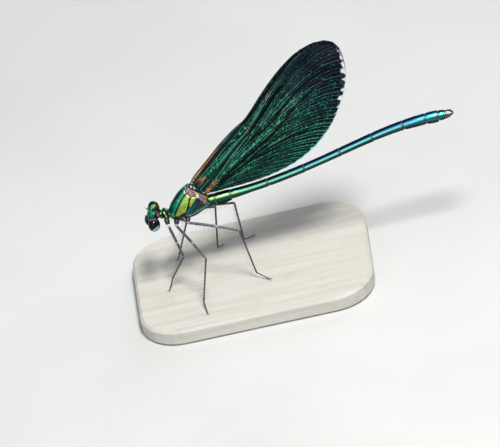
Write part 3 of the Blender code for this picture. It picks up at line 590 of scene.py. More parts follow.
done = 0.0
joints = []
for index, (length, _, front, middle_radius, back) in enumerate(ABDOMEN):
    rings, tones = [], []
    for part in np.linspace(0.0, 1.0, int(14 + 5 * length)):
        reach = TUBE_START + (length - TUBE_SHORTER_BY) * part
        share = reach / length
        swelling = middle_radius - 0.5 * (front + back)
        radius = front + (back - front) * share + swelling * (1 - (2 * share - 1) ** 2)
        rim = 0.025 * hump(length - TUBE_SHORTER_BY - reach, 0.06) - 0.05 * hump(reach - 0.1, 0.10)
        if index in GROOVED_RINGS:
            rim -= 0.03 * hump(reach - 0.34, 0.05)
        section = radius + rim
        section = section - 0.08 * radius * ease(fold, 150, 176) + 0.05 * radius * hump(fold - 146, 8)
        if index in BELLY_POUCHES:
            section = section + BELLY_POUCHES[index] * ease(fold, 112, 158) * hump(share - 0.5, 0.5)
        section = section + 0.035 * radius * hump(fold, 7)
        rings.append(tail_ring(index, reach, section))
        along = (done + reach) / tail_length
        crest, teal, painted_highlight_tone, painted_shade_tone = (tail_mix(along, which) for which in (1, 2, 3, 4))
        # Round the ring: dark top, teal, a painted highlight band, painted shade below it, and the dark
        # underside.
        ring_tone = brush(
            TAIL_DARK, (teal, ease(fold, crest - 38, crest - 14)),
            (painted_shade_tone, ease(fold, crest + 14, crest + 26)),
            (painted_highlight_tone, ease(fold, crest - 14, crest - 3) * fade(fold, crest + 8, crest + 21)),
            (TAIL_UNDER, 0.9 * ease(fold, 94, 114)))
        under = TAIL_ROSE if index >= 7 else TAIL_BELLY
        ring_tone = brush(
            ring_tone, (under, 0.8 * ease(fold, 132, 148)),
            (SEAM_BLACK, 0.8 * hump(length - 0.20 - reach, 0.05)),
            (TAIL_RING, 0.38 * hump(length - 0.09 - reach, 0.05)))
        tones.append(ring_tone)
    segment = piece("tail_tube_%d" % (index + 1), [wrap(rings, tone=np.array(tones))], tail_finish)
    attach(segment, "root")
    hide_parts("abdomen_%d" % (index + 1))
    if index > 0:
        cuff = []
        for reach in np.linspace(-CUFF_REACH, CUFF_REACH, 9):
            owner, local = (index, reach) if reach >= 0 else (index - 1, ABDOMEN[index - 1][0] + reach)
            bulge = 0.92 * min(front, ABDOMEN[index - 1][4]) - 0.03 * (abs(reach) / CUFF_REACH)
            cuff.append(tail_ring(owner, local, bulge))
        joints.append(wrap(cuff))
    done += length
joint_skin = piece("tail_joint_skin", joints, joint_finish)
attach(joint_skin, "root")

# Claspers
# Four black horny hooks at the tail's end: the upper pair bows out and closes in a
# ring, the lower pair is short and straight. They are turned horn, set in the end.
CLASPER_TILT = -3.0
UPPER_REACH = 1.30
UPPER_LIFT = 0.18
UPPER_RADII = ((0.0, 0.17), (0.2, 0.14), (0.5, 0.13), (0.72, 0.17), (0.9, 0.15), (1.0, 0.07))
LOWER_RADII = ((0.0, 0.17), (0.5, 0.14), (0.85, 0.11), (1.0, 0.05))
TEETH_AT = (9, 12, 15, 18)
TOOTH_WAY = (0.35, 1.0, -0.1)
TOOTH_RADII = (0.06, 0.045, 0.01)
SIDES = (("left", -1), ("right", 1))


def tube(line, radii, sides):
    """Rings of a tube along a line of points, with a radius at each point."""
    line = np.asarray(line, float)
    radii = np.broadcast_to(np.asarray(radii, float), (len(line),))
    step = np.gradient(line, axis=0)
    step /= np.linalg.norm(step, axis=1, keepdims=True)
    helper = np.array([0.0, 0.0, 1.0]) if abs(step[:, 2]).max() < 0.97 else np.array([0.0, 1.0, 0.0])
    across = np.cross(helper, step)
    across /= np.linalg.norm(across, axis=1, keepdims=True)
    upward = np.cross(step, across)
    angle = turns(sides)
    round_it = across[:, None] * np.cos(angle)[:, None] + upward[:, None] * np.sin(angle)[:, None]
    return line[:, None] + round_it * radii[:, None, None]


def turned(line, profile, sides, **marks):
    """A closed rod along a line, turned to a profile of (place, radius)."""
    radii = np.interp(np.linspace(0, 1, len(line)), *zip(*profile))
    return wrap(tube(line, radii, sides), **marks)


horn_finish, _ = two_tone("black_horn", {"Coat Weight": 0.6, "Coat Roughness": 0.15},
                          (0.12, 4.0, 0.4, 0.7), card(10, 10, 13), card(38, 34, 44))
scuff = speckle(0.12, 4.0)
feed("Roughness", spread(scuff, 0.3, 0.7, 0.25, 0.5))
relief(scuff, 0.01)

tail_way = along_slope(CLASPER_TILT, 1.0)
tail_lift = np.array([-tail_way[2], 0.0, tail_way[0]])
for side, sign in SIDES:
    t = np.linspace(0, 1, 26)
    bow = 0.34 + 0.44 * np.sin(math.pi * t ** 0.9) - 0.24 * t
    line = tail_end + tail_lift * UPPER_LIFT + tail_way * (UPPER_REACH * t[:, None] - 0.12)
    line = line + flip((0, 1, 0), sign) * bow[:, None] - tail_lift * (0.10 * t ** 2)[:, None]
    teeth = []
    for root in line[list(TEETH_AT)]:
        tooth = [root + reach * flip(TOOTH_WAY, -sign) for reach in (0.0, 0.12, 0.22)]
        teeth.append(wrap(tube(tooth, TOOTH_RADII, 6)))
    upper = piece("upper_clasper_" + side, [turned(line, UPPER_RADII, 16), *teeth], horn_finish)
    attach(upper, "root")
    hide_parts("cercus_" + side)
    t = np.linspace(0, 1, 12)
    line = tail_end - tail_lift * (0.40 - 0.12 * t[:, None] ** 2) + tail_way * (0.85 * t[:, None] - 0.12)
    line = line + flip((0, 1, 0), sign) * (0.30 - 0.05 * t[:, None])
    lower = piece("lower_clasper_" + side, [turned(line, LOWER_RADII, 14)], horn_finish)
    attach(lower, "root")
    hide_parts("paraproct_" + side)

# Neck and collar
# The collar behind the head is three small knobbly rings of green and yellow metal
# on dark ground. Two dark creased skins, bare and pinkish in places, join it to the
# head and to the thorax and let the head turn.
COLLAR_STATIONS = (
    (-4.92, 12.22, 0.30, 0.32),
    (-4.84, 12.23, 0.50, 0.52),
    (-4.72, 12.24, 0.64, 0.68),
    (-4.58, 12.25, 0.66, 0.70),
    (-4.44, 12.25, 0.60, 0.64),
    (-4.28, 12.23, 0.74, 0.78),
    (-4.10, 12.22, 0.86, 0.90),
    (-3.92, 12.20, 0.85, 0.88),
    (-3.80, 12.18, 0.70, 0.72),
    (-3.68, 12.18, 0.74, 0.80),
    (-3.58, 12.17, 0.70, 0.78),
    (-3.50, 12.16, 0.50, 0.56),
)
NECK_LINE = ((-5.40, 12.12, 0.50), (-5.16, 12.14, 0.42), (-4.98, 12.18, 0.38), (-4.80, 12.22, 0.44))
WAIST_LINE = ((-3.62, 12.16, 0.58), (-3.46, 12.14, 0.56), (-3.30, 12.16, 0.60), (-3.16, 12.20, 0.66))
COLLAR_RINGS = 100
COLLAR_AROUND = 110
SLEEVE_RINGS = 22
SLEEVE_AROUND = 40
HEAD_METAL = 0.6
COLLAR_DEGREE = 0.0128
COLLAR_SPOTS = (
    (-4.72, 42, 0.19, card(96, 214, 104), 0.06),
    (-4.60, 50, 0.09, card(208, 226, 96), 0.02),
    (-4.66, 93, 0.10, card(208, 206, 96), 0.03),
    (-4.16, 45, 0.15, card(226, 232, 96), 0.07),
    (-4.04, 60, 0.13, card(188, 204, 76), 0.05),
    (-3.92, 80, 0.14, card(150, 200, 70), 0.04),
    (-3.88, 97, 0.15, card(96, 214, 110), 0.05),
    (-4.20, 112, 0.13, card(60, 110, 50), 0.03),
    (-4.42, 4, 0.13, card(60, 150, 116), 0.12),
    (-3.70, 8, 0.17, card(70, 206, 160), 0.06),
)


def near_spot(along, around, size):
    """How close a point of a surface is to the middle of a spot, 1 to 0."""
    return np.exp(-(along ** 2 + around ** 2) / size ** 2)


rows = smooth_line(COLLAR_STATIONS, COLLAR_RINGS)
circle = turns(COLLAR_AROUND)
turn = from_top(circle) + 0 * rows[:, :1]
x = rows[:, :1] + 0 * turn
collar_place = np.stack([x, np.sin(circle) + 0 * x, np.cos(circle) + 0 * x], -1)
bulge = 0.015 * wobble(collar_place, 0.5, 9)
bulge = bulge - 0.06 * near_spot(x + 4.40, (turn - 74) * COLLAR_DEGREE, 0.16)
collar_tone = brush(card(8, 26, 44), (card(12, 60, 76), ease(wobble(collar_place, 0.6, 19), 0.0, 0.4)))
for spot_x, spot_turn, size, colour, height in COLLAR_SPOTS:
    spot = near_spot(x - spot_x, (turn - spot_turn) * COLLAR_DEGREE, size)
    bulge = bulge + height * spot
    collar_tone = brush(collar_tone, (colour, ease(spot, 0.25, 0.6)))
collar_tone = brush(collar_tone, (SEAM_BLACK, ease(turn, 122, 134)))
y = -(rows[:, 2:3] + bulge) * np.sin(circle)
z = rows[:, 1:2] + (rows[:, 3:4] + bulge) * np.cos(circle)
rings = np.stack([x, y, z], -1)
collar = piece("collar_shell", [wrap(rings, tone=collar_tone, metal=HEAD_METAL + 0 * x)], shell_finish)
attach(collar, "root")
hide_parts("prothorax")

neck_finish = new_finish("neck_skin", {
    "Roughness": 0.55, "Subsurface Weight": 0.05, "Subsurface Scale": 0.1 * MM})
ripple = wire("TexWave", {"Vector": wire("TexCoord")["Object"], "Scale": 2200.0, "Distortion": 3.0,
                          "Detail": 3.0, "Detail Scale": 2.0}, bands_direction="X")["Fac"]
skin = blend(ripple, card(22, 20, 28), card(88, 64, 68))
feed("Base Color", blend(mark("bare"), skin, card(204, 158, 148)))
relief(ripple, 0.03)
sleeve_turn = np.degrees(np.arccos(np.sin(turns(SLEEVE_AROUND))))
sleeves = []
for line, bare in ((NECK_LINE, 0.30 * hump(sleeve_turn - 60, 40)),
                   (WAIST_LINE, 0.9 * hump(sleeve_turn - 70, 9) + 0.9 * hump(sleeve_turn - 128, 15))):
    path = smooth_line(line, SLEEVE_RINGS)
    pleats = 0.02 * np.sin(np.linspace(0, 7 * math.pi, SLEEVE_RINGS))
    way = np.stack([path[:, 0], 0 * path[:, 0], path[:, 1]], -1)
    sleeves.append(wrap(tube(way, path[:, 2] + pleats, SLEEVE_AROUND), bare=bare[None]))
neck = piece("neck_skin", sleeves, neck_finish)
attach(neck, "root")

# Head
# A short wide capsule of green metal between the eyes: humps beside the eyes, three
# glassy simple eyes on the crown, a shining lip plate in front and black jaws below.
# Highlights are painted on the front of the crown, on the right brow hump and on the flanks of the lip
# plate.
HEAD_CENTRE = np.array([-5.74, 0.0, 12.25])
HEAD_TURN = math.radians(-4.6)
HEAD_TILT = math.radians(3.1)
HEAD_HALF = (0.90, 1.54, 1.06)
BROW_HUMPS = {-1: ((0.10, 0.84, 0.93), (0.50, 0.36, 0.44)), 1: ((0.19, 0.87, 0.72), (0.60, 0.44, 0.70))}
FACE_AT = (-1.08, 0.0, -0.53)
FACE_HALF = (0.37, 0.88, 0.68)
JAW_AT = (-0.36, 0.0, -1.83)
JAW_HALF = (0.66, 0.7, 0.42)
SIMPLE_EYES = ((-0.60, 0.0, 0.96, 0.075), (-0.10, 0.46, 0.99, 0.085), (-0.10, -0.55, 0.99, 0.115))
HEAD_FORMS = (
    (-0.20, (0.66, 0.0, 0.3), (0.5, 0.55, 0.9)),
    (0.08, (-0.62, 0.60, 0.72), (0.25, 0.24, 0.3)),
    (-0.10, (-0.40, 0.44, 1.0), (0.45, 0.09, 0.3)),
    (-0.10, (-0.05, 0.0, 1.06), (0.10, 0.7, 0.3)),
    (0.12, (-0.48, 0.0, 0.95), (0.30, 0.34, 0.3)),
    (-0.10, (-0.9, 0.0, 0.18), (0.3, 0.9, 0.08)),
    (0.10, (-0.86, 0.0, 0.46), (0.3, 0.55, 0.16)),
)
BACK_OF_HEAD = 0.72
HEAD_SQUARENESS = 2.6
HEAD_RINGS = 110
HEAD_AROUND = 120
head_turn = np.array(Matrix.Rotation(HEAD_TURN, 3, "Z") @ Matrix.Rotation(HEAD_TILT, 3, "X"))


def on_head(points):
    """Points drawn on a head that faces straight ahead, turned to its pose."""
    return HEAD_CENTRE + np.asarray(points, float) @ head_turn.T


across_steps = np.sin(np.linspace(-0.497 * math.pi, 0.497 * math.pi, HEAD_RINGS))
circle = turns(HEAD_AROUND)
size = (1 - abs(across_steps) ** 3) ** (1 / 3)
c, s = -np.sin(circle), np.cos(circle)
scale = (abs(c) ** HEAD_SQUARENESS + abs(s) ** HEAD_SQUARENESS) ** (-1 / HEAD_SQUARENESS)
hx = size[:, None] * (scale * c)
hz = size[:, None] * (scale * s)
capsule = np.stack([hx, across_steps[:, None] + 0 * hx, hz], -1) * HEAD_HALF


def near(points, centre, reach):
    """How close points are to a place: 1 there, falling to 0 beyond its reach."""
    return np.exp(-(((points - np.array(centre)) / reach) ** 2).sum(-1))


def side_lump(half, roughness, seed, around, down):
    """Rings of a lump at the head's middle, drawn round a line from side to side."""
    return lump((0, 0, 0), (half[1], half[0], half[2]), roughness, seed, around, down)[..., [1, 0, 2]]


capsule[..., 0] = np.where(capsule[..., 0] > 0, BACK_OF_HEAD * capsule[..., 0], capsule[..., 0])
both = np.stack([capsule[..., 0], abs(capsule[..., 1]), capsule[..., 2]], -1)
lift = sum(height * near(both, at, reach) for height, at, reach in HEAD_FORMS)
lift = lift + 0.010 * wobble(capsule, 0.4, 4)
outward = capsule / np.linalg.norm(capsule, axis=-1, keepdims=True)
capsule = capsule + outward * lift[..., None]
# The light green spot at the front of the crown is a painted highlight.
head_tone = brush(
    card(8, 104, 72),
    (card(44, 170, 110), 0.8 * near(both, (-0.80, 0.5, 0.75), (0.25, 0.5, 0.25))),
    (card(10, 130, 140), 0.9 * near(both, (-0.30, 0.12, 1.0), (0.14, 0.22, 0.3))),
    (card(60, 205, 140), 0.8 * near(both, (-0.16, 0.55, 1.0), (0.12, 0.18, 0.3))),
    (card(28, 34, 22), ease(both[..., 0], -0.12, 0.10)),
    (SEAM_BLACK, 0.9 * near(both, (-0.40, 0.44, 1.0), (0.5, 0.07, 0.3))),
    (SEAM_BLACK, 0.9 * near(both, (-0.9, 0.0, 0.18), (0.3, 0.9, 0.07))),
    (card(12, 14, 16), ease(-capsule[..., 2], 0.0, 0.5)))
head_parts = [wrap(on_head(capsule), tone=head_tone, metal=HEAD_METAL + 0 * hx)]
for sign in (-1, 1):
    hump_at, hump_half = BROW_HUMPS[sign]
    dome = side_lump(hump_half, 0.03, 5, 72, 56)
    forward = -dome[..., 0] / hump_half[0]
    raised = dome[..., 2] / hump_half[2]
    # On the right hump the small lilac spot near its top is a painted highlight.
    hump_tone = brush(
        card(6, 96, 66), (card(60, 226, 120), near_spot(forward - 0.30, raised - 0.50, 0.42)),
        (card(190, 170, 210), 0.8 * near_spot(forward - 0.28, raised - 0.93, 0.13)),
        (card(150, 160, 40), 0.95 * near_spot(forward + 0.36, raised - 0.80, 0.32)),
        (card(10, 150, 140), 0.6 * near_spot(forward - 0.35, raised - 0.12, 0.22)),
        (card(34, 40, 26), 0.95 * ease(-forward - 0.9 * raised, -0.30, 0.2)),
        (card(120, 64, 44), 0.7 * near_spot(forward + 0.80, raised - 0.55, 0.18)))
    if sign < 0:
        hump_tone = brush(
            card(8, 104, 76), (card(30, 150, 104), near_spot(forward - 0.3, raised - 0.6, 0.5)),
            (card(14, 120, 128), 0.8 * near_spot(forward + 0.25, raised - 0.85, 0.3)),
            (card(60, 190, 130), 0.8 * near_spot(forward - 0.6, raised - 0.3, 0.22)),
            (card(36, 84, 60), 0.9 * ease(-forward - 0.6 * raised, -0.30, 0.2)),
            (card(20, 26, 24), 0.9 * ease(-forward - 0.6 * raised, 0.25, 0.6)))
    head_parts.append(wrap(on_head(dome + flip(hump_at, sign)), tone=hump_tone,
                           metal=HEAD_METAL + 0 * raised))
head = piece("head_capsule", head_parts, shell_finish)
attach(head, "root")
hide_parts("head")

face_rings = side_lump(FACE_HALF, 0.02, 6, 64, 48)
fz = face_rings[..., 2]
face_rings[..., 0] *= 1 - (0.06 * hump(fz - 0.22, 0.05) + 0.07 * hump(fz + 0.16, 0.05)) / 0.5
# The teal streak on each flank of the lip plate is a painted highlight.
face_tone = brush(
    card(8, 22, 34), (card(8, 60, 56), ease(fz, 0.25, 0.5)),
    (card(24, 196, 160), 0.9 * hump(fz + 0.10, 0.16) * hump(abs(face_rings[..., 1]) - 0.60, 0.2)),
    (SEAM_BLACK, np.clip(hump(fz - 0.22, 0.05) + hump(fz + 0.16, 0.05), 0, 1)),
    (SEAM_BLACK, fade(fz, -0.5, -0.3)),
    (SEAM_BLACK, 0.85 * ease(-face_rings[..., 0], 0.26, 0.33)))
face = piece("lip_plate", [wrap(on_head(face_rings + FACE_AT), tone=face_tone, metal=HEAD_METAL + 0 * fz)],
             shell_finish)
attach(face, "root")
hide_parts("face")

jaw_parts = [lump((0, 0, 0), JAW_HALF, 0.05, 8, 40, 30)]
for sign in (-1, 1):
    jaw_parts.append(lump((-0.42, sign * 0.42, 0.30), (0.34, 0.26, 0.34), 0.06, 15))
    jaw_parts.append(lump((-0.20, sign * 0.62, 0.62), (0.36, 0.18, 0.40), 0.05, 16))
jaws = piece("jaws", [wrap(on_head(part + JAW_AT)) for part in jaw_parts], horn_finish)
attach(jaws, "root")
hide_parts("mouthparts")

bead_finish, _ = two_tone("simple_eye", {"Coat Weight": 1.0, "Coat Roughness": 0.05, "Roughness": 0.2},
                          (0.10, 2.0, 0.4, 0.6), card(176, 140, 132), card(226, 196, 188))
beads = [wrap(on_head(lump((bead_x, bead_y, bead_z + 0.05), 3 * (radius,), 0.0, 1, 20, 14)))
         for bead_x, bead_y, bead_z, radius in SIMPLE_EYES]
simple_eyes = piece("simple_eyes", beads, bead_finish)
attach(simple_eyes, "root")

# Eyes
# Two big glossy domes at the sides of the head, made of thousands of tiny lenses:
# nearly black, browner below, with a painted violet-grey reflection arc and a painted
# pale reflection patch on the outer side.
EYE_AT = (0.0, 1.93, -0.07)
EYE_HALF = (0.88, 1.06, 1.09)
EYE_WAYS = ((0.965, -0.099, -0.245), (0.174, 0.561, 0.810), (0.057, -0.823, 0.558))
EYE_FLAT_AT = (0.12, -0.60, 0.88)
EYE_FLAT_DEPTH = 0.037
EYE_FLAT_WIDTH = 0.36
REFLECTION_ARC_STRENGTH = {"left": 0.75, "right": 0.15}
eye_finish = new_finish("dark_compound_eye", {
    "Coat Weight": 0.40, "Coat Roughness": 0.08, "Coat IOR": 1.45, "Roughness": 0.4,
    "Specular IOR Level": 0.03})
feed("Base Color", mottled(spread(speckle(0.5, 3.0), 0.35, 0.7), (0.7, 0.7, 0.75), (1.3, 1.25, 1.2)))
relief(pits(0.045), 0.003, 0.35)
for side, sign in SIDES:
    dome = side_lump(EYE_HALF, 0.0, 1, 96, 72)
    dome[..., 0] *= 1 - 0.07 * dome[..., 2] / EYE_HALF[2]
    unit = dome / EYE_HALF
    rearward, crownward, outward = (unit @ flip(way, -sign) for way in EYE_WAYS)
    flat_gap = np.linalg.norm(dome - flip(EYE_FLAT_AT, -sign), axis=-1)
    sunk = EYE_FLAT_DEPTH * hump(flat_gap, EYE_FLAT_WIDTH) / np.linalg.norm(dome, axis=-1)
    dome = dome * (1 - sunk)[..., None]
    outer_side = ease(outward, 0.08, 0.26)
    # A painted violet-grey reflection arc on the upper outer side, and at the lower rear a painted pale
    # grey-blue reflection patch.
    reflection_arc = hump(crownward - 0.72 + 0.45 * (rearward + 0.08) ** 2, 0.10)
    reflection_arc = reflection_arc * ease(rearward, -0.88, -0.62) * fade(rearward, 0.34, 0.62)
    reflection_arc_tone = brush(card(124, 118, 154), (card(94, 84, 104), ease(rearward, -0.5, 0.1)))
    reflection_patch = ease(0.635 * rearward - 0.60 - crownward, 0.0, 0.09) * ease(rearward, -0.30, -0.12)
    eye_tone = brush(
        card(7, 5, 4), (card(44, 28, 12), 0.7 * ease(-unit[..., 2], 0.5, 1.0)),
        (reflection_arc_tone, REFLECTION_ARC_STRENGTH[side] * reflection_arc * outer_side),
        (card(140, 176, 190), 0.95 * reflection_patch * fade(rearward, 0.84, 0.94) * outer_side))
    eye = piece("eye_dome_" + side, [wrap(on_head(dome + flip(EYE_AT, sign)), tone=eye_tone)], eye_finish)
    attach(eye, "root")
    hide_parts("eye_" + side)

# Antennae
# Two short black bristles in front of the crown. Each has two stout joints at its
# foot and a hair-fine whip, and plugs into a small round seat.
ANTENNA_FOOT = (-0.82, 0.88, 0.78)
ANTENNA_BEND = (-0.18, 0.04, 0.18)
ANTENNA_TIP = (-0.52, 0.20, 0.62)
SCAPE_RADII = (0.08, 0.10, 0.11, 0.10, 0.095, 0.095, 0.10, 0.10, 0.085, 0.06)
PEDICEL_RADII = (0.05, 0.07, 0.075, 0.07, 0.07, 0.065, 0.06, 0.05, 0.03)
for side, sign in SIDES:
    foot = flip(ANTENNA_FOOT, sign)
    bend = foot + flip(ANTENNA_BEND, sign)
    tip = foot + flip(ANTENNA_TIP, sign)
    inner = foot - 0.3 * (bend - foot)
    scape = tube(smooth_line([inner, foot, 0.5 * (foot + bend)], len(SCAPE_RADII)), SCAPE_RADII, 14)
    pedicel = tube(smooth_line([0.55 * foot + 0.45 * bend, bend], len(PEDICEL_RADII)), PEDICEL_RADII, 12)
    whip_line = [0.2 * foot + 0.8 * bend, bend, 0.5 * (bend + tip) + flip((0.02, 0.0, 0.08), sign), tip]
    whip = tube(smooth_line(whip_line, 26), np.linspace(0.034, 0.008, 26), 8)
    joints = [wrap(on_head(part)) for part in (scape, pedicel, whip)]
    antenna = piece("antenna_bristle_" + side, joints, horn_finish)
    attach(antenna, "root")
    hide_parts("antenna_" + side)

# Legs
# Six thin legs of dusky violet-black horn, each a stout hip, a long thigh and shin
# with two rows of fine bristles, and a three-jointed foot that ends in two claws.
LEGS = {
    "fore": {
        "root": (-4.02, 0.55, 11.55),
        "hip": (-3.90, 1.42, 10.82),
        "left": ((-2.75, -2.65, 5.80), (-5.25, -0.95, 1.20), (-6.00, -1.75, 0.0)),
        "right": ((-1.50, 4.60, 6.80), (-3.75, 4.75, 1.20), (-4.20, 5.30, 0.0)),
    },
    "mid": {
        "root": (-2.55, 1.05, 11.38),
        "hip": (-2.75, 1.74, 10.82),
        "left": ((0.60, -7.20, 7.80), (-1.20, -7.60, 0.75), (-1.00, -9.60, 0.0)),
        "right": ((3.10, 4.90, 8.10), (2.00, 4.90, 0.90), (2.70, 6.70, 0.0)),
    },
    "hind": {
        "root": (-0.90, 1.05, 11.32),
        "hip": (-0.98, 1.76, 10.95),
        "left": ((6.20, -3.70, 9.00), (7.10, -3.20, 0.70), (8.80, -4.40, 0.0)),
        "right": ((6.00, 4.00, 8.70), (6.00, 5.90, 0.60), (7.40, 7.40, 0.0)),
    },
}
HIP_PROFILE = ((0.0, 0.34), (0.25, 0.42), (0.55, 0.37), (0.8, 0.28), (0.9, 0.24), (1.0, 0.22))
# Angle round the hip of its painted highlight stripe, in radians.
HIP_HIGHLIGHT_ANGLE = 2.9
LIMB_RINGS = 60
FOOT_RINGS = 40
THIGH_PROFILE = ((0.0, 0.17), (0.03, 0.21), (0.10, 0.205), (0.13, 0.18), (0.17, 0.22), (0.5, 0.20),
                 (0.9, 0.16), (0.97, 0.19), (1.0, 0.13))
SHIN_PROFILE = ((0.0, 0.10), (0.015, 0.15), (0.05, 0.15), (0.10, 0.135), (0.9, 0.115), (0.97, 0.135),
                (1.0, 0.10))
FOOT_PROFILE = ((0.0, 0.08), (0.04, 0.10), (0.18, 0.095), (0.2, 0.075), (0.24, 0.10), (0.48, 0.095),
                (0.5, 0.07), (0.54, 0.095), (0.95, 0.09), (1.0, 0.06))
BRISTLES = {"thigh": (10, 0.85, 0.14, 0.93, 0.2), "shin": (12, 1.05, 0.06, 0.94, 0.13)}
BRISTLE_RADII = (0.022, 0.0154, 0.006)
BRISTLE_SPLAY = 0.85
HIP_END_PALE = {"fore": 1.0, "mid": 0.5, "hind": 0.15}
FOOT_SINK = 0.12
CLAW_CURVE = ((0.0, 0.0, 0.0), (0.14, 0.08, 0.05), (0.30, 0.17, -0.03), (0.36, 0.21, -0.17))
random.seed(7)


def layered(tone, *coats):
    """A tone of the finish with other tones laid over it, each by its share."""
    for share, over in coats:
        tone = blend(share, tone, over)
    return tone


leg_finish = new_finish("violet_black_horn", {
    "Coat Weight": 0.35, "Coat Roughness": 0.3, "Specular IOR Level": 0.5})
bloom = speckle(0.30, 4.0)
feed("Base Color", layered(
    blend(spread(bloom, 0.36, 0.66), card(26, 23, 32), card(74, 70, 92)),
    (spread(speckle(0.09, 2.0), 0.62, 0.74), card(118, 112, 132)),
    (mark("dark"), card(12, 14, 22)), (mark("pale"), card(232, 230, 240))))
feed("Roughness", spread(bloom, 0.3, 0.7, 0.32, 0.5))
relief(bloom, 0.012)


def bristle_rows(start, end, inward, count, length, first, last, surface):
    """Two rows of fine tapered bristles along the inner side of a limb."""
    along = (end - start) / np.linalg.norm(end - start)
    bend_side = inward - along * inward.dot(along)
    bend_side /= np.linalg.norm(bend_side)
    cross_side = np.cross(along, bend_side)
    made = []
    for row in (-1, 1):
        for i in range(count):
            place = first + (last - first) * (i + 0.25 * (row + 1)) / count
            out = bend_side * math.cos(BRISTLE_SPLAY) + cross_side * row * math.sin(BRISTLE_SPLAY)
            reach = length * random.uniform(0.8, 1.1)
            sweep = random.uniform(0.35, 0.6)
            root = start + (end - start) * place + out * 0.5 * surface
            way = (out + along * sweep) / np.linalg.norm(out + along * sweep)
            bristle = [root, root + way * 0.5 * reach, root + way * reach + along * 0.08 * reach]
            made.append(wrap(tube(bristle, BRISTLE_RADII, 5), pale=0.0, dark=0.0))
    return made


for leg_name, leg in LEGS.items():
    for side, sign in SIDES:
        root, hip = flip(leg["root"], sign), flip(leg["hip"], sign)
        knee, ankle, toe = np.array(leg[side], float)
        toe[2] = -FOOT_SINK
        t = np.linspace(0, 1, 18)[:, None]
        # A painted highlight stripe runs along each hip at one angle; the rest of the hip is dark.
        ridge_highlight = hump(turns(40) - HIP_HIGHLIGHT_ANGLE, 0.26) * hump(t - 0.55, 0.3)
        end_pale = HIP_END_PALE[leg_name] * ease(t, 0.82, 0.90)
        coxa = [turned(root + (hip - root) * (1.05 * t - 0.1), HIP_PROFILE, 40,
                       pale=np.clip(0.65 * ridge_highlight + end_pale, 0, 1), dark=0.92 * (1 - ridge_highlight))]
        t = np.linspace(0, 1, LIMB_RINGS)[:, None]
        thigh_line = hip + (knee - hip) * (1.02 * t - 0.015) + (0, 0, 0.12) * np.sin(math.pi * t)
        # Pale marks at the thigh's foot and knee, and a painted highlight spot just past its middle.
        knee_marks_and_highlight = 0.25 * hump(t - 0.975, 0.012) + 0.45 * hump(t - 0.02, 0.02) + 0.4 * hump(t - 0.56, 0.02)
        thigh = [turned(thigh_line, THIGH_PROFILE, 14, pale=knee_marks_and_highlight, dark=0.0)]
        thigh += bristle_rows(hip, knee, ankle - hip, *BRISTLES["thigh"])
        shin = [turned(knee + (ankle - knee) * (1.01 * t - 0.005), SHIN_PROFILE, 12, pale=0.0, dark=0.2)]
        shin += bristle_rows(knee, ankle, hip - knee, *BRISTLES["shin"])
        foot_line = smooth_line([ankle, 0.5 * (ankle + toe) - (0, 0, 0.03), toe], FOOT_RINGS)
        foot = [turned(foot_line, FOOT_PROFILE, 10, pale=0.0, dark=0.3)]
        heading = (toe - ankle) * (1.0, 1.0, 0.0)
        heading /= np.linalg.norm(heading)
        beside = np.cross([0.0, 0.0, 1.0], heading)
        for claw_side in (-1, 1):
            claw = smooth_line([toe + heading * ahead + beside * claw_side * out + (0, 0, rise)
                                for ahead, out, rise in CLAW_CURVE], 12)
            foot.append(wrap(tube(claw, np.linspace(0.05, 0.012, 12), 7), pale=0.0, dark=0.3))
        for part, node, surfaces in (("hip", "coxa", coxa), ("thigh", "femur", thigh),
                                     ("shin", "tibia", shin), ("foot", "tarsus", foot)):
            limb = piece("_".join((part, leg_name, side)), surfaces, leg_finish)
            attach(limb, "root")
            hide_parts("_".join((node, leg_name, side)))

# Wings
# Four long thin wings held shut over the back. Each is a clear skin stained dark and
# pleated between stiff veins, which fan out from the root and curve to the hind edge.
# The green flecks and the bright vein lines in the hind part are painted glints and highlights, the dark
# furrows and grooves painted shade, and the white marks at the rim, at the node and on the hem painted
# glints.
WINGS = {
    "forewing": {
        "base": (0.90, 0.0, 16.20), "lean": 42.2, "root": (0.30, -0.95), "beside": (0.13, 0.20),
        "lead": ((1.0, 0.64), (2.5, 0.74), (4.5, 0.80), (6.5, 0.88), (8.0, 0.92), (10.0, 0.86),
                 (11.8, 0.70), (13.0, 0.47), (14.2, 0.48), (16.0, 0.70), (18.8, 1.09), (22.9, 1.40),
                 (26.6, 1.22), (28.6, 0.64)),
        "rim": ((30.3, -0.5), (31.1, -1.9), (31.2, -3.1), (30.0, -5.2), (26.3, -7.4), (21.6, -8.5),
                (16.0, -8.6), (10.8, -7.4), (6.2, -5.0), (2.4, -2.2)),
    },
    "hindwing": {
        "base": (2.40, 0.0, 15.50), "lean": 40.2, "root": (0.45, -0.95), "beside": (0.50, 0.85),
        "lead": ((2.9, 0.5), (4.3, 0.75), (6.3, 1.05), (8.9, 1.17), (11.5, 1.1), (13.2, 1.5), (16.5, 2.2),
                 (20.4, 3.0), (25.0, 3.4), (27.2, 3.2)),
        "rim": ((28.9, 2.5), (30.2, 1.6), (30.9, 0.4), (30.8, -1.1), (30.0, -2.5), (28.4, -4.3),
                (25.7, -6.1), (23.0, -7.3), (20.0, -8.3), (16.5, -8.85), (13.4, -8.65), (10.6, -7.95),
                (7.5, -6.55), (5.0, -5.0), (2.3, -2.8)),
    },
}
WING_STATIONS = 150
SKIN_HALF = 0.016
TIP_CROWDING = 0.22
ROOT_SPREAD = 3.4
THREAD_HALF_WIDTH = 0.055
FAN_LANES = 56
EDGE_LANES = (0.0, 0.014, 0.034)
FAN_FROM = 0.055
ROWS_IN_LANE = (0.0, 0.10, 0.28, 0.50, 0.72, 0.90)
ROOT_SINK = 0.35
PLEAT_SLOPE = 0.20
VEIN_RANKS = (0, 3, 2, 3, 1, 3, 2, 3)
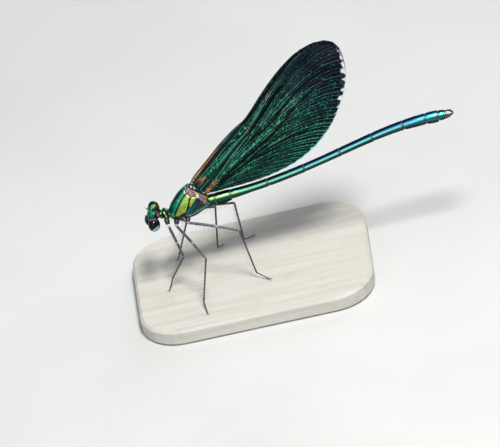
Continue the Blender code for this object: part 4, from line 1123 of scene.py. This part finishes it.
VEIN_RISE = (0.055, 0.042, 0.030, 0.022)
VEIN_STARTS = (0.0, 0.14, 0.34, 0.56)
VEIN_STRENGTHS = (1.0, 0.85, 0.65, 0.45)
VEIN_HALF_WIDTH = 0.045
LADDER_STEP = 0.40
START_ANGLES = ((0.0, 6), (0.19, -2), (0.30, -5), (0.50, -13), (0.63, -20), (0.77, -30), (1.0, -50))
END_ANGLES = ((0.0, -28), (0.12, -38), (0.19, -48), (0.30, -58), (0.42, -60), (0.55, -54), (0.7, -48),
              (1.0, -45))
# Bands where the painted green glints lie thicker: each band's middle line, half width and strength.
BRIGHT_BANDS = {
    "forewing": (
        (((2.5, -0.68), (6.0, -0.68), (9.0, -0.52), (11.8, -0.35)), 0.40, 0.80),
        (((8.0, -0.25), (11.5, -0.2)), 0.22, 0.55),
        (((14.0, 0.0), (20.0, 0.5), (27.0, 0.5)), 0.5, 0.35),
    ),
    "hindwing": (
        (((2.0, -0.6), (6.0, -0.72), (9.5, -1.0), (12.0, -1.35), (14.0, -1.6), (16.0, -1.38),
          (18.0, -1.18), (20.0, -1.25)), 0.55, 0.88),
        (((13.0, 0.15), (15.0, 0.25), (17.5, 0.05), (19.5, 0.2)), 0.62, 0.5),
        (((3.0, -2.3), (9.0, -3.1), (12.0, -3.4), (16.0, -3.6)), 0.5, 0.5),
        (((4.0, 0.1), (8.0, 0.35), (10.8, 0.45)), 0.16, 0.5),
    ),
}
# Bands of painted shade along the wing's grooves: the middle line and half width. The fourth hindwing band
# also marks the dark ladder strip.
GROOVE_SHADE_BANDS = {
    "forewing": (
        (((0.6, 0.42), (6.0, 0.44), (12.0, 0.28)), 0.36),
        (((7.0, -0.30), (9.0, -0.42), (11.0, -0.65), (12.4, -0.76)), 0.11),
        (((13.0, 0.1), (20.0, 0.8), (26.0, 1.0)), 0.25),
    ),
    "hindwing": (
        (((3.0, -1.15), (7.0, -1.55), (10.0, -1.95), (13.0, -2.35), (16.0, -2.3), (19.0, -1.95),
          (22.0, -2.2)), 0.20),
        (((11.5, -0.35), (13.0, -0.8), (15.0, -0.95), (18.0, -0.62), (21.0, -0.5), (24.0, -0.75),
          (27.0, -1.5)), 0.24),
        (((11.8, 0.7), (14.0, 1.1), (17.0, 1.5), (20.0, 1.95)), 0.36),
        (((0.5, 0.1), (4.0, 0.42), (8.0, 0.72), (10.8, 0.8)), 0.26),
        (((2.0, -1.4), (5.0, -1.95), (8.0, -2.65), (12.0, -3.8), (15.0, -4.9), (17.0, -6.2),
          (18.2, -7.5)), 0.16),
        (((6.0, -2.0), (10.0, -2.65), (14.0, -3.45), (17.0, -4.6), (19.5, -6.3)), 0.14),
    ),
}
# Painted glints at the rim where the pleated tip catches the light: place along the rim, half width and
# depth in millimetres.
RIM_GLINTS = (
    (0.140, 0.006, 0.20), (0.152, 0.007, 0.30), (0.168, 0.007, 0.32), (0.184, 0.009, 0.60),
    (0.211, 0.011, 0.80), (0.240, 0.013, 1.00), (0.279, 0.008, 0.62), (0.301, 0.006, 0.28),
    (0.3235, 0.008, 0.58), (0.3585, 0.011, 0.74), (0.3955, 0.008, 0.40), (0.425, 0.005, 0.24),
    (0.4695, 0.003, 0.20),
)
PALE_THREADS = {
    "forewing": ((((0.8, -0.08), (4.0, -0.11), (8.0, -0.06), (11.9, -0.02)), 0.7),),
    "hindwing": ((((0.8, -0.45), (3.4, -0.24), (6.5, 0.12), (8.6, 0.26), (11.0, 0.45)), 0.7),
                 (((11.0, 1.0), (13.2, 1.32), (16.5, 1.98), (20.4, 2.72)), 0.35)),
}


def even_line(points, count):
    """Points at equal distances along a smooth curve."""
    dense = smooth_line(points, 1200)
    way = np.concatenate([[0.0], np.cumsum(np.linalg.norm(np.diff(dense, axis=0), axis=1))])
    marks = np.linspace(0, way[-1], count)
    return np.stack([np.interp(marks, way, dense[:, i]) for i in range(dense.shape[1])], -1)


def at_shares(line, shares):
    """Points of a line of even steps, at shares of its length."""
    return np.stack([np.interp(shares, np.linspace(0, 1, len(line)), line[:, i]) for i in (0, 1)], -1)


def wing_map(wing, places, t):
    """Points of the wing's plane, a row for each place from the front edge (0) to the hind edge (1)."""
    high, low = wing["root"]
    lead = at_shares(even_line([(0.0, high), *wing["lead"]], 2001), t)
    rim = even_line([wing["lead"][-1], *wing["rim"], (0.0, low)], 2001)
    t = t[None, :, None]
    end = at_shares(rim, places)[:, None]
    start = np.stack([0 * places, high + (low - high) * places ** 0.45], -1)[:, None]
    chord = np.linalg.norm(end - start, axis=-1, keepdims=True)
    turn_in, turn_out = (np.radians(np.interp(places, *zip(*bends)))[:, None] for bends in
                         (START_ANGLES, END_ANGLES))
    second = start + 0.45 * chord * np.stack([np.cos(turn_in), np.sin(turn_in)], -1)
    third = end - 0.22 * chord * np.stack([np.cos(turn_out), np.sin(turn_out)], -1)
    fan = (1 - t) ** 3 * start + 3 * (1 - t) ** 2 * t * second + 3 * (1 - t) * t ** 2 * third + t ** 3 * end
    beside_lead = lead[None] + (end - rim[0]) * t + (start - lead[0]) * (1 - t)
    return fan + (beside_lead - fan) * fade(places, 0.02, 0.17)[:, None, None]


def along_band(u, v, band):
    """How far a point of the wing lies from the middle of a band, as a share of its half width."""
    line, half = np.array(band[0]), band[1]
    middle_line = np.interp(u, line[:, 0], line[:, 1])
    ends = fade(line[0, 0] - u, 0.0, 1.5) - ease(u - line[-1, 0], 0.0, 2.5)
    return (v - middle_line) / half, np.clip(ends, 0, 1)


def wing_surface(kind, wing, sign, seed):
    """A closed pleated sheet with raised veins, and the marks that its finish reads."""
    rng = np.random.default_rng(seed)
    lanes = np.array([*EDGE_LANES, *(FAN_FROM + (1 - FAN_FROM) * np.linspace(0, 1, FAN_LANES))])
    number = np.arange(len(lanes))
    lane_at = np.concatenate([[i + f for f in ROWS_IN_LANE] for i in number[:-1]] + [[number[-1]]])
    places = np.interp(lane_at, number, lanes)
    t = np.linspace(0, 1, WING_STATIONS)
    t = t + TIP_CROWDING * t * (1 - t)
    flat = wing_map(wing, places, t)
    t = t[None]
    u, v = flat[..., 0], flat[..., 1]
    across, run = (np.insert(np.cumsum(np.linalg.norm(np.diff(flat, axis=way), axis=-1), way), 0, 0.0, way)
                   for way in (0, 1))
    span = np.gradient(across, lane_at, axis=0)
    fan_at = lane_at - len(EDGE_LANES)
    fan_ranks = np.take(VEIN_RANKS, number - len(EDGE_LANES), mode="wrap")
    level = np.where(number < len(EDGE_LANES), 0, fan_ranks)
    begun = [ease(t, start - 0.03, start + 0.06) for start in VEIN_STARTS]
    weight = [begun[i] * (1 - begun[i + 1]) for i in range(3)] + [begun[3]]
    low_edge = run[:, -1:] - run
    rim_near = np.minimum(low_edge, across[-1:] - across)
    # Painted shade in the pleat furrow beside each vein.
    furrow_shade, gold, pleat = 0 * run, 0 * run, 0 * run
    far_side = 0.12 * ease(places, 0.40, 0.52)[:, None]
    for fineness, share in enumerate(weight):
        group = len(VEIN_RANKS) / 2 ** fineness
        phase = np.where(fan_at >= 0, (fan_at / group) % 1.0, lane_at % 1.0)[:, None]
        parity = np.where(fan_at >= 0, (fan_at / group) % 2.0, lane_at % 2.0)[:, None]
        furrow_shade = furrow_shade + share * ease(phase, 0.05, 0.13) * fade(phase, 0.32 + far_side, 0.52 + far_side)
        gold = gold + share * ease(phase, 0.72, 0.95)
        zigzag = (abs(parity - 1) * 2 - 1) * 0.5 * PLEAT_SLOPE
        pleat = pleat + share * zigzag * span * group * ease(t, 0.0, 0.12)
    edge_rows = fan_at < 0
    pleat[edge_rows] = pleat[edge_rows.sum()] * (lane_at[edge_rows] / len(EDGE_LANES))[:, None]
    nearest = np.round(lane_at).astype(int)
    rank = level[nearest]
    vein_begun = np.array(begun)[rank, 0]
    line = vein_begun * rng.uniform(0.45, 1.0, len(number))[nearest][:, None]
    line = line * np.array(VEIN_STRENGTHS)[rank][:, None]
    rise = np.array(VEIN_RISE)[rank][:, None] * vein_begun
    crest = np.where(np.isclose(lane_at % 1.0, 0.0)[:, None], rise, 0.0)
    tip_beside, root_beside = wing["beside"]
    close = tip_beside + (root_beside - tip_beside) * np.exp(-(u / ROOT_SPREAD) ** 2)
    sunk = flat - np.array([ROOT_SINK, 0.0]) * fade(t, 0.0, 0.05)[..., None]
    along, upward = along_slope(wing["lean"], 1.0), along_slope(wing["lean"] + 90, 1.0)
    sheet = np.array(wing["base"]) + sunk[..., :1] * along + sunk[..., 1:2] * upward
    outer, inner = sheet.copy(), sheet.copy()
    outer[..., 1] = sign * (close + pleat + SKIN_HALF + crest)
    inner[..., 1] = sign * (close + pleat - SKIN_HALF - crest)
    count, stations = run.shape
    index = np.arange(count * stations).reshape(count, stations)
    quads = np.stack([index[:-1, :-1], index[1:, :-1], index[1:, 1:], index[:-1, 1:]], -1).reshape(-1, 4)
    shift = count * stations
    faces = quads.tolist() + (quads[:, ::-1] + shift).tolist()
    edge = np.concatenate([index[0, :], index[1:, -1], index[-1, -2::-1], index[-2:0:-1, 0]])
    faces += [(int(b), int(a), int(a) + shift, int(b) + shift) for a, b in zip(edge, np.roll(edge, -1))]
    if sign < 0:
        faces = [face[::-1] for face in faces]

    front = (lane_at < 1.5)[:, None]
    place = places[:, None] + 0 * t
    bands, groove_shade = 0 * u, 0 * u
    golden = 0.30 * gold
    for band in BRIGHT_BANDS[kind]:
        off, ends = along_band(u, v, band)
        bands = np.maximum(bands, band[2] * ends * fade(abs(off), 0.6, 1.15))
        golden = np.maximum(golden, band[2] * ends * hump(off + 0.75, 0.28) * ease(u, 9.0, 13.0))
    # Painted shade along the grooves.
    for band in GROOVE_SHADE_BANDS[kind]:
        off, ends = along_band(u, v, band)
        groove_shade = np.maximum(groove_shade, ends * fade(abs(off), 0.5, 1.1))
    trailing = ease(place, 0.40, 0.52) * ease(5.4 - low_edge, 0.0, 1.6) * ease(u, 5.5, 8.5)
    calm = ease(place, 0.48, 0.60) * fade(u, 8.0, 11.5)
    furrow_shade = furrow_shade * (1 - 0.55 * calm)
    if kind == "forewing":
        furrow_shade = furrow_shade * (1 - 0.75 * np.clip(bands, 0, 1))
    ground = brush(
        card(1, 12, 14), (card(4, 6, 12), ease(u, 19, 27)),
        (card(32, 18, 36), 0.8 * ease(u, 26.5, 31.0) * ease(v, -2.5, -0.5)))
    # The flecks are painted green glints, gold-edged along the bright bands.
    fleck = brush(
        card(46, 164, 130), (card(28, 124, 128), ease(u, 16, 25)),
        (card(62, 190, 138), 0.8 * bands),
        (card(176, 186, 84), 0.7 * np.clip(golden, 0, 1) * fade(u, 20, 26)))
    beads = 0 * u
    if kind == "forewing":
        bead_strip = fade(u, 2.5, 5.5) * fade(across, 0.30, 0.42)
        beads = fade(u, 6.0, 8.5) * ease(across, 0.04, 0.08) * fade(across, 0.17, 0.22)
        rust = ease(u, 0.6, 1.1) * fade(u, 1.9, 2.7)
        rust = np.maximum(bead_strip, rust * np.maximum(ease(v, 0.05, 0.15), hump(v + 0.62, 0.32)))
        ladder = ease(v, 0.02, 0.08) * fade(u, 12.2, 13.0)
        strip = ladder * ease(across, 0.16, 0.24) * ease(u, 1.6, 2.6)
    else:
        rust = fade(u, 1.4, 2.9) * hump(v + 0.55, 0.32)
        rust = np.maximum(rust, hump(low_edge - 0.50, 0.26) * fade(u, 5.5, 8.0) * ease(place, 0.6, 0.7))
        off, ends = along_band(u, v, GROOVE_SHADE_BANDS[kind][3])
        ladder = ends * fade(abs(off), 0.8, 1.1)
        strip = 0.9 * ladder
    ground = brush(ground, (card(96, 44, 14), 0.9 * rust))
    fleck = brush(fleck, (card(255, 154, 76), 0.95 * rust))
    furrow_shade = furrow_shade * (1 - 0.8 * rust)
    # How thickly the painted glints lie.
    shine = 0.40 + 0.56 * bands - 0.5 * groove_shade
    shine = (shine - 0.07 * calm) * (1 - 0.74 * ease(u, 19.5, 27)) * (1 - 0.4 * ease(v, 0.9, 2.0))
    shine = shine + 0.5 * rust
    shine = shine * (1 - 0.6 * furrow_shade) * (1 - 0.15 * trailing)
    # Vein colour; in the hind part the veins carry a painted highlight.
    thread = brush(
        card(52, 136, 122),
        (card(78, 100, 128), rng.uniform(0, 1, len(number))[nearest][:, None]),
        (card(80, 206, 178), 0.8 * trailing),
        (card(60, 64, 86), ease(u, 21, 27) * 0.8))
    if kind == "forewing":
        bead_tone = brush(card(255, 236, 200), (card(236, 150, 78), ease(u, 2.6, 3.8)))
        thread = brush(
            thread, (card(104, 60, 32), front * fade(u, 6, 9)),
            (bead_tone, (lane_at < 1.2)[:, None] * fade(u, 6, 9) * fade(across, 0.19, 0.24)),
            (card(96, 108, 134), front * ease(u, 7.5, 9) * fade(u, 12.0, 12.8)),
            (card(62, 88, 88), (lane_at < 0.25)[:, None] * fade(u, 7.5, 9)),
            (card(16, 30, 36), front * ease(u, 12.4, 13.0)))
    else:
        # Painted glints on the front veins at the node and farther out.
        nodus_glint = (lane_at < 2.5)[:, None] * hump(u - 11.7, 0.45)
        edge_glint = front * hump(u - 18.4, 0.6)
        thread = brush(
            thread, (card(96, 190, 170), front * fade(u, 17, 20)),
            (card(74, 100, 108), front * ease(u, 15, 18)),
            (card(232, 224, 236), nodus_glint), (card(246, 200, 190), edge_glint))
        line = np.max([line, nodus_glint, edge_glint], 0)
    # Every other vein in the hind part carries a painted highlight line.
    vein_highlight_strength = (number % 2 == 1) * rng.uniform(0.2, 1.0, len(number)) ** 1.5
    vein_highlight_line = trailing * vein_highlight_strength[nearest][:, None]
    line = np.maximum(line * (1 - 0.4 * calm), 0.95 * vein_highlight_line)
    line = np.maximum(line, (lane_at < 0.5)[:, None] * 1.0) * (1 - 0.85 * groove_shade)
    pale = 0 * u
    for way, strength in PALE_THREADS[kind]:
        off, ends = along_band(u, v, (way, THREAD_HALF_WIDTH))
        pale = np.maximum(pale, strength * ends * hump(off, 0.8))
    hem_and_glint = ease(0.26 - rim_near, 0.0, 0.10) * ease(place, 0.46, 0.56) * ease(u, 3.0, 4.5)
    # A painted glint spot sits on the hem.
    hem_and_glint = np.maximum(hem_and_glint, hump(np.hypot(u - 14.8, (v + 8.72) * 1.3), 0.26))
    # Painted glints along the rim.
    depth = sum(deep * hump(place - spot, half) for spot, half, deep in RIM_GLINTS)
    ragged = depth * rng.uniform(0.6, 1.15, len(lane_at))[:, None]
    glint = ease(ragged - low_edge, 0.0, 0.16) * ease(low_edge, 0.02, 0.06)
    glint = glint * np.clip(0.45 + 0.9 * depth, 0, 1)
    # Dark mark: painted shade of the furrows and grooves, and the dark strip of the front edge.
    dark = np.clip(np.maximum(0.7 * furrow_shade + 0.85 * groove_shade + 0.3 * furrow_shade * trailing, 0.88 * strip), 0, 0.96)
    marks = {"ground": ground, "fleck": fleck, "thread": thread, "shine": shine, "line": line, "span": span,
             "lane": lane_at[:, None] + 0 * t, "weave": np.stack([run, across, 0 * run + seed], -1),
             "dark": dark, "hem_and_glint": hem_and_glint, "glint": glint, "pale": pale, "ladder": ladder, "beads": beads}
    flat_marks = {name: np.concatenate([values.reshape(-1, *values.shape[2:])] * 2)
                  for name, values in marks.items()}
    return np.vstack([outer.reshape(-1, 3), inner.reshape(-1, 3)]), faces, flat_marks


def reckon(kind, first, second=0.0):
    """Arithmetic on two values of the finish."""
    return wire("Math", {0: first, 1: second}, operation=kind)[0]


def minus(first, second):
    """One value of the finish less another."""
    return reckon("SUBTRACT", first, second)


def times(first, *others):
    """Values of the finish multiplied together."""
    for value in others:
        first = reckon("MULTIPLY", first, value)
    return first


wing_finish = new_finish("stained_wing_skin", {"Specular IOR Level": 0.05})
weave, lane, beads = mark("weave", "Vector"), mark("lane"), mark("beads")
fleck, thread = mark("fleck", "Color"), mark("thread", "Color")
# Painted green glints in the cells, thicker where the shine mark is high.
cells = wire("TexVoronoi", {"Vector": weave, "Scale": 3.9, "Randomness": 0.8}, feature="F1")
cell = wire("SeparateColor", {"Color": cells["Color"]})
cell_border = spread(cells["Distance"], 0.34, 0.62)
shine = times(mark("shine"), spread(speckle(1.3, 3.0), 0.35, 0.65, 0.7, 1.2))
spark = spread(minus(cell["Red"], minus(0.86, times(shine, 0.50))), 0.0, 0.14)
spark = times(spark, minus(1.0, times(cell_border, 0.8)))
spark = reckon("MINIMUM", times(spark, reckon("ADD", 0.55, times(shine, 0.6))), 1.0)
fleck_tone = blend(0.6, blend(spread(cell["Green"], 0.2, 0.9), fleck, card(30, 150, 120)), fleck)
run_along = wire("SeparateXYZ", {"Vector": weave})["X"]
rung = reckon("ABSOLUTE", minus(reckon("FRACT", reckon("DIVIDE", run_along, LADDER_STEP)), 0.5))
rung = spread(rung, 0.16, 0.30, 1.0, 0.0)
from_vein = times(reckon("ABSOLUTE", minus(lane, reckon("ROUND", lane))), mark("span"))
vein_there = times(spread(from_vein, VEIN_HALF_WIDTH, 1.7 * VEIN_HALF_WIDTH, 1.0, 0.0), mark("line"))
broken = spread(speckle(1.6, 3.0), 0.36, 0.56, 0.35, 1.0)
feed("Base Color", layered(
    blend(times(shine, 0.07), mark("ground", "Color"), fleck),
    (spark, fleck_tone),
    (mark("dark"), card(2, 8, 12)),
    (times(rung, mark("ladder"), 0.05), fleck_tone),
    (times(vein_there, broken), thread),
    (times(minus(1.0, rung), beads, 0.85), card(40, 20, 10)),
    (times(rung, beads, 0.95), thread),
    (times(mark("pale"), broken), card(110, 190, 150)),
    (reckon("MINIMUM", mark("glint"), 1.0), card(212, 206, 222)),
    (mark("hem_and_glint"), card(132, 190, 198))))
feed("Roughness", spread(cell["Red"], 0.0, 1.0, 0.30, 0.55))
relief(reckon("ADD", cell_border, times(cell["Red"], 0.5)), 0.012)

for number, (kind, wing) in enumerate(WINGS.items()):
    for side, sign in SIDES:
        surface = wing_surface(kind, wing, sign, 50 + number)
        blade = piece("_".join((kind, "blade", side)), [surface], wing_finish)
        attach(blade, "root")
        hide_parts("_".join((kind, side)))

# Studio
# A plain pale floor, three soft lamps, the main one high over the insect, and a flat
# parallel view at the photograph's angle, rolled with its horizon.
VIEW_AZIMUTH = math.radians(3.3)
VIEW_ELEVATION = math.radians(34.8)
VIEW_ROLL = math.radians(14.1)
VIEW_WIDTH = 73.5
VIEW_MIDDLE = (7.519, 3.701, 4.686)
VIEW_DISTANCE = 400.0
FLOOR_HALF = 1.5
AIR_COLOUR = (0.88, 0.94, 1.0, 1.0)
AIR_STRENGTH = 0.32
LAMP_AIM = (8.0, 0.0, 14.0)
LAMPS = (
    ("lamp_sun_side", (0.18, -0.39, 0.90), 380.0, 85.0, 1.75, (1.0, 0.98, 0.94)),
    ("lamp_front", (-0.45, -0.76, 0.46), 420.0, 480.0, 0.50, (0.94, 0.97, 1.0)),
    ("lamp_back", (0.45, 0.80, 0.42), 420.0, 260.0, 0.50, (0.97, 0.98, 1.0)),
)

mesh = bpy.data.meshes.new("floor")
corners = ((-1, -1), (1, -1), (1, 1), (-1, 1))
mesh.from_pydata([(cx * FLOOR_HALF, cy * FLOOR_HALF, 0.0) for cx, cy in corners], [], [(0, 1, 2, 3)])
floor = bpy.data.objects.new("floor", mesh)
bpy.context.scene.collection.objects.link(floor)
floor_finish, _ = two_tone("pale_floor", {"Roughness": 0.9, "Specular IOR Level": 0.2},
                           (40.0, 3.0, 0.3, 0.7), card(196, 197, 196), card(204, 205, 204))
mesh.materials.append(floor_finish)

for name, way, distance, width, watts, colour in LAMPS:
    light = bpy.data.lights.new(name, "AREA")
    light.shape = "DISK"
    light.size = width * MM
    light.energy = watts
    light.color = colour
    lamp = bpy.data.objects.new(name, light)
    way = Vector(way).normalized()
    lamp.location = Vector(build_origin + np.array(LAMP_AIM) * MM) + way * distance * MM
    lamp.rotation_mode = "QUATERNION"
    lamp.rotation_quaternion = (-way).to_track_quat("-Z", "Y")
    bpy.context.scene.collection.objects.link(lamp)

world = bpy.data.worlds.new("studio_air")
world.use_nodes = True
air = world.node_tree.nodes["Background"].inputs
air["Color"].default_value = AIR_COLOUR
air["Strength"].default_value = AIR_STRENGTH
bpy.context.scene.world = world
bpy.context.scene.view_settings.view_transform = "Standard"

right = Vector((math.cos(VIEW_AZIMUTH), math.sin(VIEW_AZIMUTH), 0.0))
back = Vector((math.sin(VIEW_AZIMUTH) * math.cos(VIEW_ELEVATION),
               -math.cos(VIEW_AZIMUTH) * math.cos(VIEW_ELEVATION), math.sin(VIEW_ELEVATION)))
upward = back.cross(right)
rolled_right = right * math.cos(VIEW_ROLL) - upward * math.sin(VIEW_ROLL)
rolled_up = right * math.sin(VIEW_ROLL) + upward * math.cos(VIEW_ROLL)
lens = bpy.data.cameras.new("camera")
lens.type = "ORTHO"
lens.ortho_scale = VIEW_WIDTH * MM
lens.clip_start = 0.01
lens.clip_end = 5.0
camera = bpy.data.objects.new("camera", lens)
turn = Matrix((rolled_right, rolled_up, back)).transposed().to_4x4()
spot = Vector(build_origin + np.array(VIEW_MIDDLE) * MM) + back * VIEW_DISTANCE * MM
camera.matrix_world = Matrix.Translation(spot) @ turn
bpy.context.scene.collection.objects.link(camera)
bpy.context.scene.camera = camera
